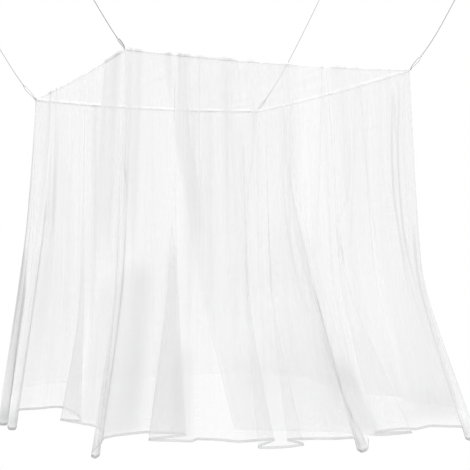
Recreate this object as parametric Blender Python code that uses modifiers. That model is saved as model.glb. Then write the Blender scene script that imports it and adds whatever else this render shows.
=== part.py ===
"""Mosquito net canopy: a box-shaped bed net that hangs from four corner cords.

Metres, +Z up. The origin is the middle of the roof, level with its four corners.
+X runs along the near wall from left to right, +Y from the near wall to the far wall.
The net hangs down to HEIGHT below the origin and is open underneath.
"""
import math

import bmesh
import bpy
import numpy as np

# Driving dimensions
ROOF_WIDTH = 1.75
ROOF_LENGTH = 2.20
HEIGHT = 2.12
NET_THICKNESS = 0.001
HEM_THICKNESS = 0.002
HEM_DEPTH = 0.014
TAPE_DEPTH = 0.014
TAPE_THICKNESS = 0.002
GAP = 0.0004

# How far each roof edge and the middle of the roof hang below the corners
EDGE_SAG = {"near": 0.018, "far": 0.022, "left": 0.014, "right": 0.014}
ROOF_EXTRA_SAG = 0.012

# A fold's stand-off is full this far down, as a share of the wall's height
STAND_REACHED = 0.06
# Roundness of the bend between the upright part of a wall and its spread foot
BEND_ROUNDNESS = 0.08

# Share of the height at each row of a wall, closer together where the net spreads.
# The last two gaps are the edge where the hem's turning starts, and the hem itself.
HEM_START = 1 - HEM_DEPTH / HEIGHT
HEM_STEP = 0.003
WALL_ROWS = (0.0, 0.06, 0.32, 0.45, 0.56, 0.66, 0.75, 0.83, 0.91, HEM_START - HEM_STEP, HEM_START, 1.0)
HEM_ROWS = 2
STEPS_BETWEEN_FOLDS = 2
ROOF_STEPS = 12
TAPE_STEPS = 12

# Each wall is a table with one row for each fold line, from its first corner on.
# top     place of the fold line along the roof edge
# foot    place of its lower end along the same direction
# out     how far the lower end stands outside the roof's outline
# lift    height of the hem above the lowest point of the net
# stand   how far the fold line stands off the wall all the way up
# bend    share of the height at which the fold line starts to spread
# early   share of the spread that it has reached there
FOLD_COLUMNS = ("top", "foot", "out", "lift", "stand", "bend", "early")

LEFT_WALL = (
    ("near corner seam", 0.004, -0.121, 0.199, 0.000, 0.000, 0.61, 0.25),
    ("corner foot side", 0.014, -0.049, 0.197, 0.002, 0.000, 0.61, 0.25),
    ("corner foot root", 0.040, 0.060, 0.105, 0.050, 0.000, 0.61, 0.25),
    ("run", 0.200, 0.260, 0.055, 0.060, 0.000, 0.60, 0.25),
    ("pleat start", 0.390, 0.438, 0.046, 0.055, 0.000, 0.60, 0.25),
    ("pleat face", 0.570, 0.600, 0.092, 0.050, 0.006, 0.66, 0.22),
    ("pleat edge", 0.780, 0.840, 0.135, 0.030, 0.010, 0.70, 0.20),
    ("pleat under", 0.800, 0.690, 0.060, 0.045, 0.002, 0.70, 0.20),
    ("pleat back", 0.980, 1.010, 0.030, 0.045, -0.004, 0.62, 0.22),
    ("run end", 1.250, 1.211, 0.069, 0.045, 0.000, 0.58, 0.25),
    ("drawn side", 1.400, 1.175, 0.204, 0.050, 0.000, 0.55, 0.26),
    ("drawn root", 1.520, 1.168, 0.329, 0.050, 0.000, 0.50, 0.28),
    ("first foot side", 1.620, 0.814, 0.404, 0.000, 0.000, 0.45, 0.30),
    ("first foot end", 1.665, 0.834, 0.448, 0.000, 0.000, 0.45, 0.30),
    ("between feet", 1.850, 1.160, 0.388, 0.050, 0.000, 0.45, 0.28),
    ("second foot side", 2.150, 0.985, 0.452, 0.000, 0.000, 0.45, 0.28),
    ("second foot end", 2.162, 1.000, 0.496, 0.000, 0.000, 0.45, 0.28),
    ("second foot root", 2.172, 1.344, 0.410, 0.040, 0.000, 0.45, 0.28),
    ("back of the foot", 2.180, 1.640, 0.320, 0.035, 0.000, 0.50, 0.26),
    ("far run", 2.188, 1.960, 0.200, 0.035, 0.000, 0.55, 0.25),
    ("far corner seam", 2.196, 2.270, 0.090, 0.030, 0.000, 0.60, 0.25),
)

NEAR_OUTER_WALL = (
    ("left corner seam", 0.004, -0.194, 0.128, 0.000, 0.000, 0.61, 0.25),
    ("corner foot side", 0.014, -0.157, 0.066, 0.002, 0.000, 0.61, 0.25),
    ("corner foot root", 0.034, -0.126, 0.011, 0.070, 0.000, 0.61, 0.25),
    ("run", 0.090, -0.060, 0.003, 0.080, 0.000, 0.60, 0.25),
    ("run end", 0.170, 0.115, 0.001, 0.085, 0.000, 0.60, 0.28),
    ("first pleat under", 0.270, 0.330, 0.030, 0.060, 0.000, 0.60, 0.28),
    ("first pleat edge", 0.286, 0.106, 0.056, 0.058, 0.008, 0.60, 0.28),
    ("first pleat face", 0.330, 0.221, 0.088, 0.050, 0.012, 0.60, 0.28),
    ("first pleat end", 0.380, 0.320, 0.121, 0.045, 0.010, 0.60, 0.26),
    ("valley", 0.420, 0.374, 0.086, 0.045, 0.005, 0.60, 0.25),
    ("span", 0.490, 0.500, 0.088, 0.030, 0.002, 0.60, 0.25),
    ("step", 0.560, 0.594, 0.124, 0.020, 0.002, 0.62, 0.25),
    ("second pleat under", 0.655, 0.800, 0.138, 0.020, 0.002, 0.66, 0.24),
    ("second pleat edge", 0.672, 0.668, 0.204, 0.000, 0.010, 0.66, 0.24),
    ("second pleat face", 0.730, 0.795, 0.247, 0.000, 0.014, 0.66, 0.24),
    ("second pleat end", 0.786, 0.930, 0.224, 0.000, 0.012, 0.64, 0.22),
    ("second pleat back", 0.802, 0.856, 0.176, 0.020, 0.004, 0.62, 0.20),
    ("run", 0.838, 0.985, 0.202, 0.020, 0.002, 0.60, 0.20),
    ("run middle", 0.868, 1.106, 0.252, 0.020, 0.002, 0.56, 0.18),
    ("middle foot root", 0.898, 1.215, 0.277, 0.020, 0.002, 0.46, 0.14),
    ("middle foot left side", 0.922, 1.133, 0.452, 0.000, 0.004, 0.35, 0.07),
    ("middle foot end", 0.932, 1.124, 0.516, 0.000, 0.004, 0.35, 0.07),
    ("middle foot right side", 0.942, 1.182, 0.473, 0.000, 0.004, 0.35, 0.07),
    ("free edge", 0.956, 1.271, 0.338, 0.020, 0.002, 0.35, 0.07),
)

NEAR_INNER_WALL = (
    ("free edge", 0.330, 0.615, 0.027, 0.070, -0.012, 0.60, 0.28),
    ("overlapped", 0.450, 0.740, 0.045, 0.060, -0.012, 0.60, 0.26),
    ("overlapped", 0.600, 0.900, 0.075, 0.050, -0.012, 0.60, 0.24),
    ("overlapped", 0.780, 1.080, 0.125, 0.040, -0.012, 0.58, 0.22),
    ("overlap end", 0.960, 1.215, 0.185, 0.035, -0.010, 0.56, 0.20),
    ("pleat start", 1.045, 1.330, 0.290, 0.030, -0.002, 0.56, 0.20),
    ("pleat face", 1.110, 1.425, 0.313, 0.030, 0.004, 0.58, 0.20),
    ("pleat edge", 1.190, 1.572, 0.300, 0.030, 0.006, 0.60, 0.20),
    ("pleat under", 1.208, 1.372, 0.240, 0.030, -0.002, 0.60, 0.20),
    ("pleat back", 1.330, 1.610, 0.162, 0.020, -0.006, 0.60, 0.20),
    ("run", 1.430, 1.660, 0.204, 0.022, 0.000, 0.60, 0.20),
    ("run middle", 1.540, 1.751, 0.212, 0.035, 0.000, 0.60, 0.20),
    ("run end", 1.630, 1.811, 0.279, 0.040, 0.000, 0.60, 0.20),
    ("corner foot root", 1.700, 1.869, 0.350, 0.045, 0.000, 0.60, 0.20),
    ("corner foot side", 1.732, 1.836, 0.430, 0.000, 0.000, 0.60, 0.20),
    ("right corner seam", 1.745, 1.820, 0.486, 0.000, 0.000, 0.60, 0.20),
)

RIGHT_WALL = (
    ("near corner seam", 0.004, -0.478, 0.080, 0.000, 0.000, 0.60, 0.20),
    ("corner foot side", 0.014, -0.423, 0.141, 0.000, 0.000, 0.60, 0.20),
    ("corner foot root", 0.034, -0.322, 0.215, 0.050, 0.000, 0.60, 0.20),
    ("swell side", 0.100, -0.110, 0.340, 0.055, 0.000, 0.60, 0.20),
    ("swell", 0.210, 0.160, 0.440, 0.060, 0.000, 0.60, 0.22),
    ("swell side", 0.340, 0.370, 0.380, 0.060, 0.000, 0.60, 0.24),
    ("valley", 0.470, 0.500, 0.297, 0.060, -0.004, 0.60, 0.25),
    ("fold", 0.680, 0.715, 0.365, 0.050, 0.008, 0.60, 0.25),
    ("valley", 0.920, 0.950, 0.225, 0.050, -0.004, 0.60, 0.25),
    ("fold", 1.180, 1.235, 0.300, 0.045, 0.008, 0.60, 0.25),
    ("valley", 1.420, 1.470, 0.170, 0.050, -0.004, 0.60, 0.25),
    ("fold", 1.690, 1.760, 0.235, 0.045, 0.008, 0.60, 0.25),
    ("valley", 1.940, 2.010, 0.125, 0.045, -0.002, 0.60, 0.25),
    ("far corner seam", 2.196, 2.280, 0.100, 0.030, 0.000, 0.60, 0.25),
)

FAR_WALL = (
    ("left corner seam", 0.004, -0.084, 0.066, 0.030, 0.000, 0.60, 0.25),
    ("fold", 0.150, 0.105, 0.150, 0.035, 0.006, 0.60, 0.25),
    ("valley", 0.335, 0.300, 0.055, 0.050, -0.004, 0.60, 0.25),
    ("fold", 0.520, 0.500, 0.165, 0.040, 0.008, 0.60, 0.25),
    ("valley", 0.680, 0.690, 0.060, 0.050, -0.004, 0.60, 0.25),
    ("fold", 0.880, 0.900, 0.130, 0.040, 0.006, 0.60, 0.25),
    ("valley", 1.050, 1.075, 0.045, 0.050, -0.004, 0.60, 0.25),
    ("fold", 1.260, 1.290, 0.155, 0.040, 0.008, 0.60, 0.25),
    ("valley", 1.450, 1.500, 0.070, 0.050, -0.004, 0.60, 0.25),
    ("fold", 1.610, 1.680, 0.140, 0.040, 0.004, 0.60, 0.25),
    ("right corner seam", 1.745, 1.835, 0.076, 0.030, 0.000, 0.60, 0.25),
)

# Roof edges: start corner of the walls on it, direction along it and outward direction
HALF_X = ROOF_WIDTH / 2
HALF_Y = ROOF_LENGTH / 2
EDGES = {
    "near": {"start": (-HALF_X, -HALF_Y), "along": (1, 0), "outward": (0, -1), "length": ROOF_WIDTH},
    "far": {"start": (-HALF_X, HALF_Y), "along": (1, 0), "outward": (0, 1), "length": ROOF_WIDTH},
    "left": {"start": (-HALF_X, -HALF_Y), "along": (0, 1), "outward": (-1, 0), "length": ROOF_LENGTH},
    "right": {"start": (HALF_X, -HALF_Y), "along": (0, 1), "outward": (1, 0), "length": ROOF_LENGTH},
}

# The two near panels hang side by side under the tape, so each has its own set-off
PANEL_SET_OFF = 0.0012
WALLS = {
    "wall_left": ("left", LEFT_WALL, 0.0),
    "wall_near_outer": ("near", NEAR_OUTER_WALL, PANEL_SET_OFF),
    "wall_near_inner": ("near", NEAR_INNER_WALL, -PANEL_SET_OFF),
    "wall_right": ("right", RIGHT_WALL, 0.0),
    "wall_far": ("far", FAR_WALL, 0.0),
}

# Corner tabs, knots and cords
TAB_WIDTH = 0.010
TAB_THICKNESS = 0.0018
KNOT_RADIUS = 0.0055
CORD_RADIUS = 0.0025
CORD_STEP = 0.012
MOST_CORD_STEPS = 75
FINE_STEPS = 12
TUBE_ROUNDNESS = 2
KNOT_SIDES = 8
KNOT_RINGS = 6
LOOP_LENGTH = 0.036
LOOP_WIDTH = 0.016
LOOP_STEPS = 16

# A tab is a tape folded into a loop, both ends side by side on the corner. From there to its
# far end: share of its length, and share of its half opening.
TAB_SHAPE = (
    (0.000, 0.00), (0.100, 0.28), (0.240, 0.58), (0.420, 0.86), (0.620, 1.00),
    (0.800, 0.97), (0.920, 0.78), (0.975, 0.45), (1.000, 0.00),
)

# Each corner's cord stays in one upright plane, turned by heading degrees from +X.
# The routes are (out, up) places in that plane, from the corner: first the tab, then the cord.
# open is half of the widest space between the tab's two legs.
CORNERS = {
    "near_left": {
        "corner": (-HALF_X, -HALF_Y),
        "heading": -155,
        "open": 0.0060,
        "tab": ((0.004, -0.012), (0.008, -0.001), (0.022, 0.013), (0.041, 0.029), (0.052, 0.038)),
        "cord": (
            (0.0615, 0.0465), (0.090, 0.075), (0.125, 0.112),
            (0.165, 0.156), (0.198, 0.193), (0.225, 0.224),
        ),
    },
    "near_right": {
        "corner": (HALF_X, -HALF_Y),
        "heading": -48,
        "open": 0.0070,
        "tab": ((0.004, -0.012), (0.008, 0.000), (0.022, 0.016), (0.043, 0.038), (0.062, 0.060)),
        "cord": (
            (0.0700, 0.0700), (0.100, 0.108), (0.138, 0.161),
            (0.182, 0.231), (0.228, 0.311), (0.281, 0.404),
        ),
    },
    "far_right": {
        "corner": (HALF_X, HALF_Y),
        "heading": 27,
        "open": 0.0080,
        "tab": ((0.004, -0.012), (0.009, 0.000), (0.030, 0.018), (0.070, 0.053), (0.105, 0.086)),
        "cord": (
            (0.1133, 0.0937), (0.190, 0.172), (0.290, 0.283), (0.400, 0.416),
            (0.520, 0.570), (0.650, 0.743), (0.775, 0.913), (0.880, 1.060),
        ),
    },
    "far_left": {
        "corner": (-HALF_X, HALF_Y),
        "heading": 133,
        "open": 0.0095,
        "tab": ((0.004, -0.012), (0.009, 0.001), (0.029, 0.022), (0.064, 0.056), (0.098, 0.093)),
        "cord": (
            (0.1061, 0.1014), (0.140, 0.142), (0.180, 0.193),
            (0.235, 0.268), (0.300, 0.360), (0.378, 0.474),
        ),
    },
}

NET_COLOUR = (0.90, 0.90, 0.90, 1.0)
TAPE_COLOUR = (0.86, 0.86, 0.86, 1.0)
CORD_COLOUR = (0.80, 0.80, 0.80, 1.0)
NET_ROUGHNESS = 0.9
TAPE_ROUGHNESS = 0.8
CORD_ROUGHNESS = 0.7


def clear_scene():
    """Removes every object that the file holds."""
    for thing in list(bpy.data.objects):
        bpy.data.objects.remove(thing, do_unlink=True)


def new_material(name, colour, roughness):
    """A plain cloth material."""
    material = bpy.data.materials.new(name)
    material.use_nodes = True
    shader = material.node_tree.nodes["Principled BSDF"]
    shader.inputs["Base Color"].default_value = colour
    shader.inputs["Roughness"].default_value = roughness
    shader.inputs["Metallic"].default_value = 0.0
    return material


def add_object(name, data, collection, material):
    """Puts an object on the given mesh or curve into the collection."""
    thing = bpy.data.objects.new(name, data)
    collection.objects.link(thing)
    data.materials.append(material)
    return thing


def add_sheet(name, grid, thickness, collection, material):
    """A sheet of cloth: an open surface through a grid of points, given its thickness.

    The grid's faces are split into triangles first, so both sides bend along the same lines.
    Returns the sheet and the modifier that gives it its thickness.
    """
    rows, columns = grid.shape[:2]
    corner = np.arange(rows * columns).reshape(rows, columns)
    a, b = corner[:-1, :-1].ravel(), corner[:-1, 1:].ravel()
    c, d = corner[1:, 1:].ravel(), corner[1:, :-1].ravel()
    faces = np.concatenate([np.stack([a, d, c], axis=1), np.stack([a, c, b], axis=1)])
    mesh = bpy.data.meshes.new(name)
    mesh.from_pydata(grid.reshape(-1, 3).tolist(), [], faces.tolist())
    mesh.shade_smooth()
    thing = add_object(name, mesh, collection, material)
    solidify = thing.modifiers.new("Cloth thickness", "SOLIDIFY")
    solidify.thickness = thickness
    solidify.offset = 0.0
    return thing, solidify


def add_wall(name, grid, collection, material):
    """A wall panel: a sheet of net whose last rows are doubled over into a hem."""
    thing, solidify = add_sheet(name, grid, HEM_THICKNESS, collection, material)
    hem = thing.vertex_groups.new(name="hem")
    points = grid.shape[0] * grid.shape[1]
    hem.add(list(range(points - HEM_ROWS * grid.shape[1], points)), 1.0, "REPLACE")
    solidify.vertex_group = hem.name
    solidify.thickness_vertex_group = NET_THICKNESS / HEM_THICKNESS
    return thing


def smooth_columns(values, distances, steps):
    """Reads smooth curves through the rows of values, steps to a gap.

    Each column is a cubic through its own values. A row's slope is the mean of the slopes
    on its two sides, weighted by the distances, so that close rows make tight bends.
    """
    slopes = np.diff(values, axis=0) / distances[:, None]
    before, after = distances[:-1, None], distances[1:, None]
    inner = (slopes[:-1] * after + slopes[1:] * before) / (before + after)
    tangents = np.concatenate([slopes[:1], inner, slopes[-1:]])
    pieces = []
    for share in np.arange(steps) / steps:
        start = 2 * share**3 - 3 * share**2 + 1
        between = start * values[:-1] + (1 - start) * values[1:]
        leave = (share**3 - 2 * share**2 + share) * distances[:, None]
        arrive = (share**3 - share**2) * distances[:, None]
        pieces.append(between + leave * tangents[:-1] + arrive * tangents[1:])
    curve = np.stack(pieces, axis=1).reshape(-1, values.shape[1])
    return np.concatenate([curve, values[-1:]])


def fold_lines(table, steps):
    """The table's columns, read at every fold line and between them, by name."""
    values = np.array([row[1:] for row in table], dtype=float)
    columns = {name: values[:, i] for i, name in enumerate(FOLD_COLUMNS)}
    plan = np.stack([columns["foot"], columns["out"]], axis=1)
    distances = np.sqrt(np.linalg.norm(np.diff(plan, axis=0), axis=1))
    smooth = smooth_columns(values, distances, steps)
    places = np.arange(len(smooth)) / steps
    lines = {name: smooth[:, i] for i, name in enumerate(FOLD_COLUMNS)}
    for name in ("top", "stand", "bend", "early", "lift"):
        lines[name] = np.interp(places, np.arange(len(values)), columns[name])
    return lines


def spread_share(depth, bend, early):
    """How much of its spread a fold line has at a share of the height.

    Two straight slopes, joined by a rounded bend: slow down to the bend, then quick.
    """
    slow = early / bend
    quick = (1 - early) / (1 - bend)

    def ramp(x):
        return (x + np.sqrt(x**2 + BEND_ROUNDNESS**2)) / 2

    low, high = ramp(-bend), ramp(1 - bend)
    risen = (ramp(depth - bend) - low) / (high - low) * (1 - bend)
    return slow * depth + (quick - slow) * risen


def edge_drop(edge, place):
    """How far a roof edge hangs below its corners at a place along it."""
    share = place / EDGES[edge]["length"]
    return EDGE_SAG[edge] * 4 * share * (1 - share)


def wall_grid(edge, table, set_off):
    """Points of a wall panel: straight along the roof edge, spread into its folds at the hem."""
    line = fold_lines(table, STEPS_BETWEEN_FOLDS)
    depth = np.array(WALL_ROWS)[:, None]
    share = spread_share(depth, line["bend"], line["early"])
    along = line["top"] + (line["foot"] - line["top"]) * share
    stand = line["stand"] * np.clip(depth / STAND_REACHED, 0, 1)
    outward = line["out"] * share + stand + set_off
    top = -TAPE_DEPTH - GAP - edge_drop(edge, line["top"])
    foot = -HEIGHT + line["lift"]
    height = top + (foot - top) * depth
    frame = EDGES[edge]
    start, side, normal = (np.array(frame[key], dtype=float) for key in ("start", "along", "outward"))
    plan = start + along[..., None] * side + outward[..., None] * normal
    return np.concatenate([plan, height[..., None]], axis=2)


def roof_grid():
    """Points of the roof panel, which sags between its four edges."""
    inset = TAPE_THICKNESS / 2 + GAP
    x = np.linspace(-HALF_X + inset, HALF_X - inset, ROOF_STEPS + 1)[None, :]
    y = np.linspace(-HALF_Y + inset, HALF_Y - inset, ROOF_STEPS + 1)[:, None]
    across = 1 - (x / HALF_X) ** 2
    lengthways = 1 - (y / HALF_Y) ** 2
    nearness = (1 - y / HALF_Y) / 2
    rightness = (1 + x / HALF_X) / 2
    sag = across * (EDGE_SAG["near"] * nearness + EDGE_SAG["far"] * (1 - nearness))
    sag = sag + lengthways * (EDGE_SAG["right"] * rightness + EDGE_SAG["left"] * (1 - rightness))
    sag = sag + ROOF_EXTRA_SAG * across * lengthways
    height = -TAPE_DEPTH / 2 - sag
    return np.stack([x + 0 * y, y + 0 * x, height], axis=2)[:, ::-1]


def tape_grid(edge):
    """Points of the tape over one roof edge, an upright strip that follows the edge's sag."""
    frame = EDGES[edge]
    trim = TAPE_THICKNESS / 2 + GAP if edge in ("left", "right") else -TAPE_THICKNESS / 2
    place = np.linspace(trim, frame["length"] - trim, TAPE_STEPS + 1)
    start, side = (np.array(frame[key], dtype=float) for key in ("start", "along"))
    plan = start + place[:, None] * side
    drop = edge_drop(edge, np.clip(place, 0, frame["length"]))
    upper = np.concatenate([plan, -drop[:, None]], axis=1)
    lower = np.concatenate([plan, -drop[:, None] - TAPE_DEPTH], axis=1)
    return np.stack([upper, lower])


def in_space(corner, route):
    """Turns (out, up) places in a corner's upright plane into points."""
    angle = math.radians(corner["heading"])
    out, up = np.array(route, dtype=float).T
    x, y = corner["corner"]
    return np.stack([x + out * math.cos(angle), y + out * math.sin(angle), up], axis=1)


def step_lengths(points):
    """The distance from each point to the next."""
    return np.linalg.norm(np.diff(points, axis=0), axis=1)


class SmoothRoute:
    """A smooth curve through a route's own points, read by the distance along it."""

    def __init__(self, points):
        """Draws the curve and measures it."""
        self.fine = smooth_columns(points, step_lengths(points), FINE_STEPS)
        self.travelled = np.concatenate([[0], np.cumsum(step_lengths(self.fine))])
        self.length = self.travelled[-1]

    def at(self, stops):
        """The points at the given distances."""
        return np.stack([np.interp(stops, self.travelled, column) for column in self.fine.T], axis=1)


def cord_points(points):
    """Even steps along a cord's smooth route."""
    route = SmoothRoute(points)
    count = min(MOST_CORD_STEPS, round(route.length / CORD_STEP))
    return route.at(np.linspace(0, route.length, count + 1))


def add_tube(name, points, radius, collection, material, closed=False):
    """A round tube along points, with capped ends unless it is a closed ring."""
    curve = bpy.data.curves.new(name, "CURVE")
    curve.dimensions = "3D"
    curve.bevel_depth = radius
    curve.bevel_resolution = TUBE_ROUNDNESS
    curve.use_fill_caps = not closed
    spline = curve.splines.new("POLY")
    spline.points.add(len(points) - 1)
    spline.points.foreach_set("co", np.concatenate([points, np.ones((len(points), 1))], axis=1).ravel())
    spline.use_cyclic_u = closed
    return add_object(name, curve, collection, material)


def add_knot(name, centre, direction, collection, material):
    """A knot: a ball with its poles on the cord's direction."""
    mesh = bpy.data.meshes.new(name)
    shape = bmesh.new()
    bmesh.ops.create_uvsphere(shape, u_segments=KNOT_SIDES, v_segments=KNOT_RINGS, radius=KNOT_RADIUS)
    shape.to_mesh(mesh)
    shape.free()
    mesh.shade_smooth()
    thing = add_object(name, mesh, collection, material)
    thing.location = centre
    turned = math.atan2(direction[1], direction[0])
    tilt = math.atan2(math.hypot(direction[0], direction[1]), direction[2])
    thing.rotation_euler = (0, tilt, turned)


def add_tab(name, corner, collection, material):
    """A tape tab, whose loop opens in its corner's upright plane."""
    route = SmoothRoute(np.array(corner["tab"], dtype=float))
    share, width = np.array(TAB_SHAPE).T
    middle = route.at(share * (route.length - TAB_THICKNESS / 2 - GAP))
    ahead = np.gradient(middle, axis=0)
    across = np.stack([-ahead[:, 1], ahead[:, 0]], axis=1) / np.linalg.norm(ahead, axis=1)[:, None]
    half_open = np.maximum(width * corner["open"], TAB_THICKNESS / 2 + GAP)
    half_open[-1] = 0
    leg = across * half_open[:, None]
    line = in_space(corner, np.concatenate([middle + leg, (middle - leg)[-2::-1]]))
    angle = math.radians(corner["heading"])
    sideways = np.array([-math.sin(angle), math.cos(angle), 0]) * TAB_WIDTH / 2
    add_sheet(name, np.stack([line - sideways, line + sideways]), TAB_THICKNESS, collection, material)


def unit(vector):
    """A vector scaled to length one."""
    return vector / np.linalg.norm(vector)


def add_hanger(label, corner, collection, tape, cord):
    """One corner's tab, knot, cord, and the knot and loop at the cord's far end."""
    add_tab(f"tab_{label}", corner, collection, tape)
    route = in_space(corner, corner["cord"])
    add_tube(f"cord_{label}", cord_points(route), CORD_RADIUS, collection, cord)
    leave = unit(route[1] - route[0])
    add_knot(f"knot_{label}", route[0] - leave * (KNOT_RADIUS + GAP), leave, collection, cord)
    arrive = unit(route[-1] - route[-2])
    add_knot(f"end_knot_{label}", route[-1] + arrive * (KNOT_RADIUS + GAP), arrive, collection, cord)
    ring_start = route[-1] + arrive * (2 * KNOT_RADIUS + 2 * GAP + CORD_RADIUS)
    angle = math.radians(corner["heading"])
    sideways = np.array([-math.sin(angle), math.cos(angle), 0])
    turn = np.arange(LOOP_STEPS)[:, None] * 2 * math.pi / LOOP_STEPS
    reach = arrive * (1 - np.cos(turn)) * LOOP_LENGTH / 2
    width = sideways * np.sin(turn) * LOOP_WIDTH / 2
    add_tube(f"end_loop_{label}", ring_start + reach + width, CORD_RADIUS, collection, cord, closed=True)


def build():
    """Makes every piece of the canopy."""
    clear_scene()
    collection = bpy.data.collections.new("mosquito_net_canopy")
    bpy.context.scene.collection.children.link(collection)
    tape = new_material("edge_tape", TAPE_COLOUR, TAPE_ROUGHNESS)
    cord = new_material("hanging_cord", CORD_COLOUR, CORD_ROUGHNESS)
    roof_net = new_material("net_roof_panel", NET_COLOUR, NET_ROUGHNESS)
    add_sheet("roof_panel", roof_grid(), NET_THICKNESS, collection, roof_net)
    for edge in EDGES:
        add_sheet(f"tape_{edge}", tape_grid(edge), TAPE_THICKNESS, collection, tape)
    for name, (edge, table, set_off) in WALLS.items():
        net = new_material(f"net_{name}", NET_COLOUR, NET_ROUGHNESS)
        add_wall(name, wall_grid(edge, table, set_off), collection, net)
    for label, corner in CORNERS.items():
        add_hanger(label, corner, collection, tape, cord)


build()
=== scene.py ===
"""Finished look of a box-shaped mosquito net canopy that hangs from four corner cords.

Metres, +Z up. The origin is the middle of the roof, level with its four corners. +X runs
along the near wall from left to right, and +Y from the near wall to the far wall.

Every cloth is a surface on a grid: one parameter runs across it from fold to fold, the
other runs down it. How many layers of net lie on each other at a place is kept as a
number on the mesh, and the net's see-through finish reads it.
"""
import logging
import math
from dataclasses import dataclass, field
from enum import Enum
from typing import NamedTuple

import bpy
import numpy as np
from numpy.typing import NDArray
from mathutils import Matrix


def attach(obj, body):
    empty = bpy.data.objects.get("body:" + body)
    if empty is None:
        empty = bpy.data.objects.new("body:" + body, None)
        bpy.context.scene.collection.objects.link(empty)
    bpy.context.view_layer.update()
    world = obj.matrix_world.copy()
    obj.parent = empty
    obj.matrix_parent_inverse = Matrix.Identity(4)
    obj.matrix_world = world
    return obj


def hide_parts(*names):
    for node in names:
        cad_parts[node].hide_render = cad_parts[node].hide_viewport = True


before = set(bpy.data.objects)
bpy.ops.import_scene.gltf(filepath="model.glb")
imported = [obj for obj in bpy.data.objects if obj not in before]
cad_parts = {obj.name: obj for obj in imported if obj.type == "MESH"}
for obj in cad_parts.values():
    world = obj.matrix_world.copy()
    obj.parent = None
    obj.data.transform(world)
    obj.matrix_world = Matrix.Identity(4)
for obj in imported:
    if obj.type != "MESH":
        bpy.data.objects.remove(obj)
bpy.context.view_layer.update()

Array = NDArray[np.float64]
Faces = NDArray[np.int64]
Colour = tuple[float, float, float]
Between = tuple[float, float]
Run = tuple[Array, Array]
Socket = bpy.types.NodeSocket
Thing = bpy.types.Object
Material = bpy.types.Material
LOG = logging.getLogger("canopy")

# Sizes that the whole canopy shares
ROOF_WIDTH = 1.75
ROOF_LENGTH = 2.20
HALF_X = ROOF_WIDTH / 2
HALF_Y = ROOF_LENGTH / 2
HEIGHT = 2.12
GAP = 0.0004
TAPE_DEPTH = 0.014
TAPE_THICKNESS = 0.002

# A fold stands off its wall in full this far down, as a share of the wall's height
STAND_REACHED = 0.06
# Roundness of the bend between the upright part of a wall and its spread foot
BEND_ROUNDNESS = 0.08

TURN = 2 * math.pi
UP = np.array([0.0, 0.0, 1.0])
WHITE = (1.0, 1.0, 1.0)
# Lengths and steps below these count as these, so that nothing is divided by zero
LEAST_LENGTH = 1e-12
LEAST_STEP = 1e-5
LEAST_BENT_STEP = 1e-4
# Added to a direction, so that it is never nothing
LEAST_WAY = 1e-9
# A place among columns is read at least this far before their end, so that each has a next one
BEFORE_END = 1.001


class Fold(NamedTuple):
    """One fold line of a wall, from the roof's edge down to the hem.

    top and foot are its places along the roof's edge from the wall's first corner, out is how
    far its foot stands outside the roof, lift how high its foot is above the lowest hem, and
    stand how far it stands off the wall all the way up. bend is the share of the height where
    it starts to spread, and early the share of its spread that it has reached there.
    """

    name: str
    top: float
    foot: float
    out: float
    lift: float
    stand: float
    bend: float
    early: float


class Profile(Enum):
    """How a streak's strength falls off to its two sides: their steepness, and its power."""

    SOFT = (1.0, 1.0, 2.0)
    FIRST_SIDE_HARD = (3.5, 1.0, 2.0)
    SECOND_SIDE_HARD = (1.0, 3.5, 2.0)
    FLAT = (1.0, 1.0, 6.0)


class Streak(NamedTuple):
    """A fold, line or dense band of net that runs down a wall.

    route holds (depth, place, width) rows from its upper end to its lower end: the share of
    the height, the place counted in fold lines, and how wide it is to each side. layers is
    the cloth that it adds, as a share of what is there, and ridge how far it stands proud.
    """

    name: str
    route: tuple[tuple[float, float, float], ...]
    layers: float
    ridge: float = 0.0
    profile: Profile = Profile.SOFT


LEFT_FOLDS = (
    Fold("near corner seam", 0.004, -0.121, 0.199, 0.000, 0.000, 0.61, 0.25),
    Fold("corner foot side", 0.014, -0.049, 0.197, 0.002, 0.000, 0.61, 0.25),
    Fold("corner foot root", 0.040, 0.060, 0.105, 0.050, 0.000, 0.61, 0.25),
    Fold("run", 0.200, 0.260, 0.055, 0.060, 0.000, 0.60, 0.25),
    Fold("pleat start", 0.390, 0.438, 0.046, 0.055, 0.000, 0.60, 0.25),
    Fold("pleat face", 0.570, 0.600, 0.092, 0.050, 0.006, 0.66, 0.22),
    Fold("pleat edge", 0.780, 0.840, 0.135, 0.030, 0.010, 0.70, 0.20),
    Fold("pleat under", 0.800, 0.690, 0.060, 0.045, 0.002, 0.70, 0.20),
    Fold("pleat back", 0.980, 1.010, 0.030, 0.045, -0.004, 0.62, 0.22),
    Fold("run end", 1.250, 1.211, 0.069, 0.045, 0.000, 0.58, 0.25),
    Fold("drawn side", 1.400, 1.175, 0.204, 0.050, 0.000, 0.55, 0.26),
    Fold("drawn root", 1.520, 1.168, 0.329, 0.050, 0.000, 0.50, 0.28),
    Fold("first foot side", 1.620, 0.814, 0.418, 0.000, 0.000, 0.45, 0.30),
    Fold("first foot end", 1.665, 0.834, 0.448, 0.000, 0.000, 0.45, 0.30),
    Fold("between feet", 1.850, 1.160, 0.388, 0.050, 0.000, 0.45, 0.28),
    Fold("second foot side", 2.150, 0.985, 0.436, 0.000, 0.000, 0.45, 0.28),
    Fold("second foot end", 2.162, 1.000, 0.468, 0.000, 0.000, 0.45, 0.28),
    Fold("second foot root", 2.172, 1.344, 0.400, 0.040, 0.000, 0.45, 0.28),
    Fold("back of the foot", 2.180, 1.640, 0.320, 0.035, 0.000, 0.50, 0.26),
    Fold("far run", 2.188, 1.960, 0.200, 0.035, 0.000, 0.55, 0.25),
    Fold("far corner seam", 2.196, 2.270, 0.090, 0.030, 0.000, 0.60, 0.25),
)

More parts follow.
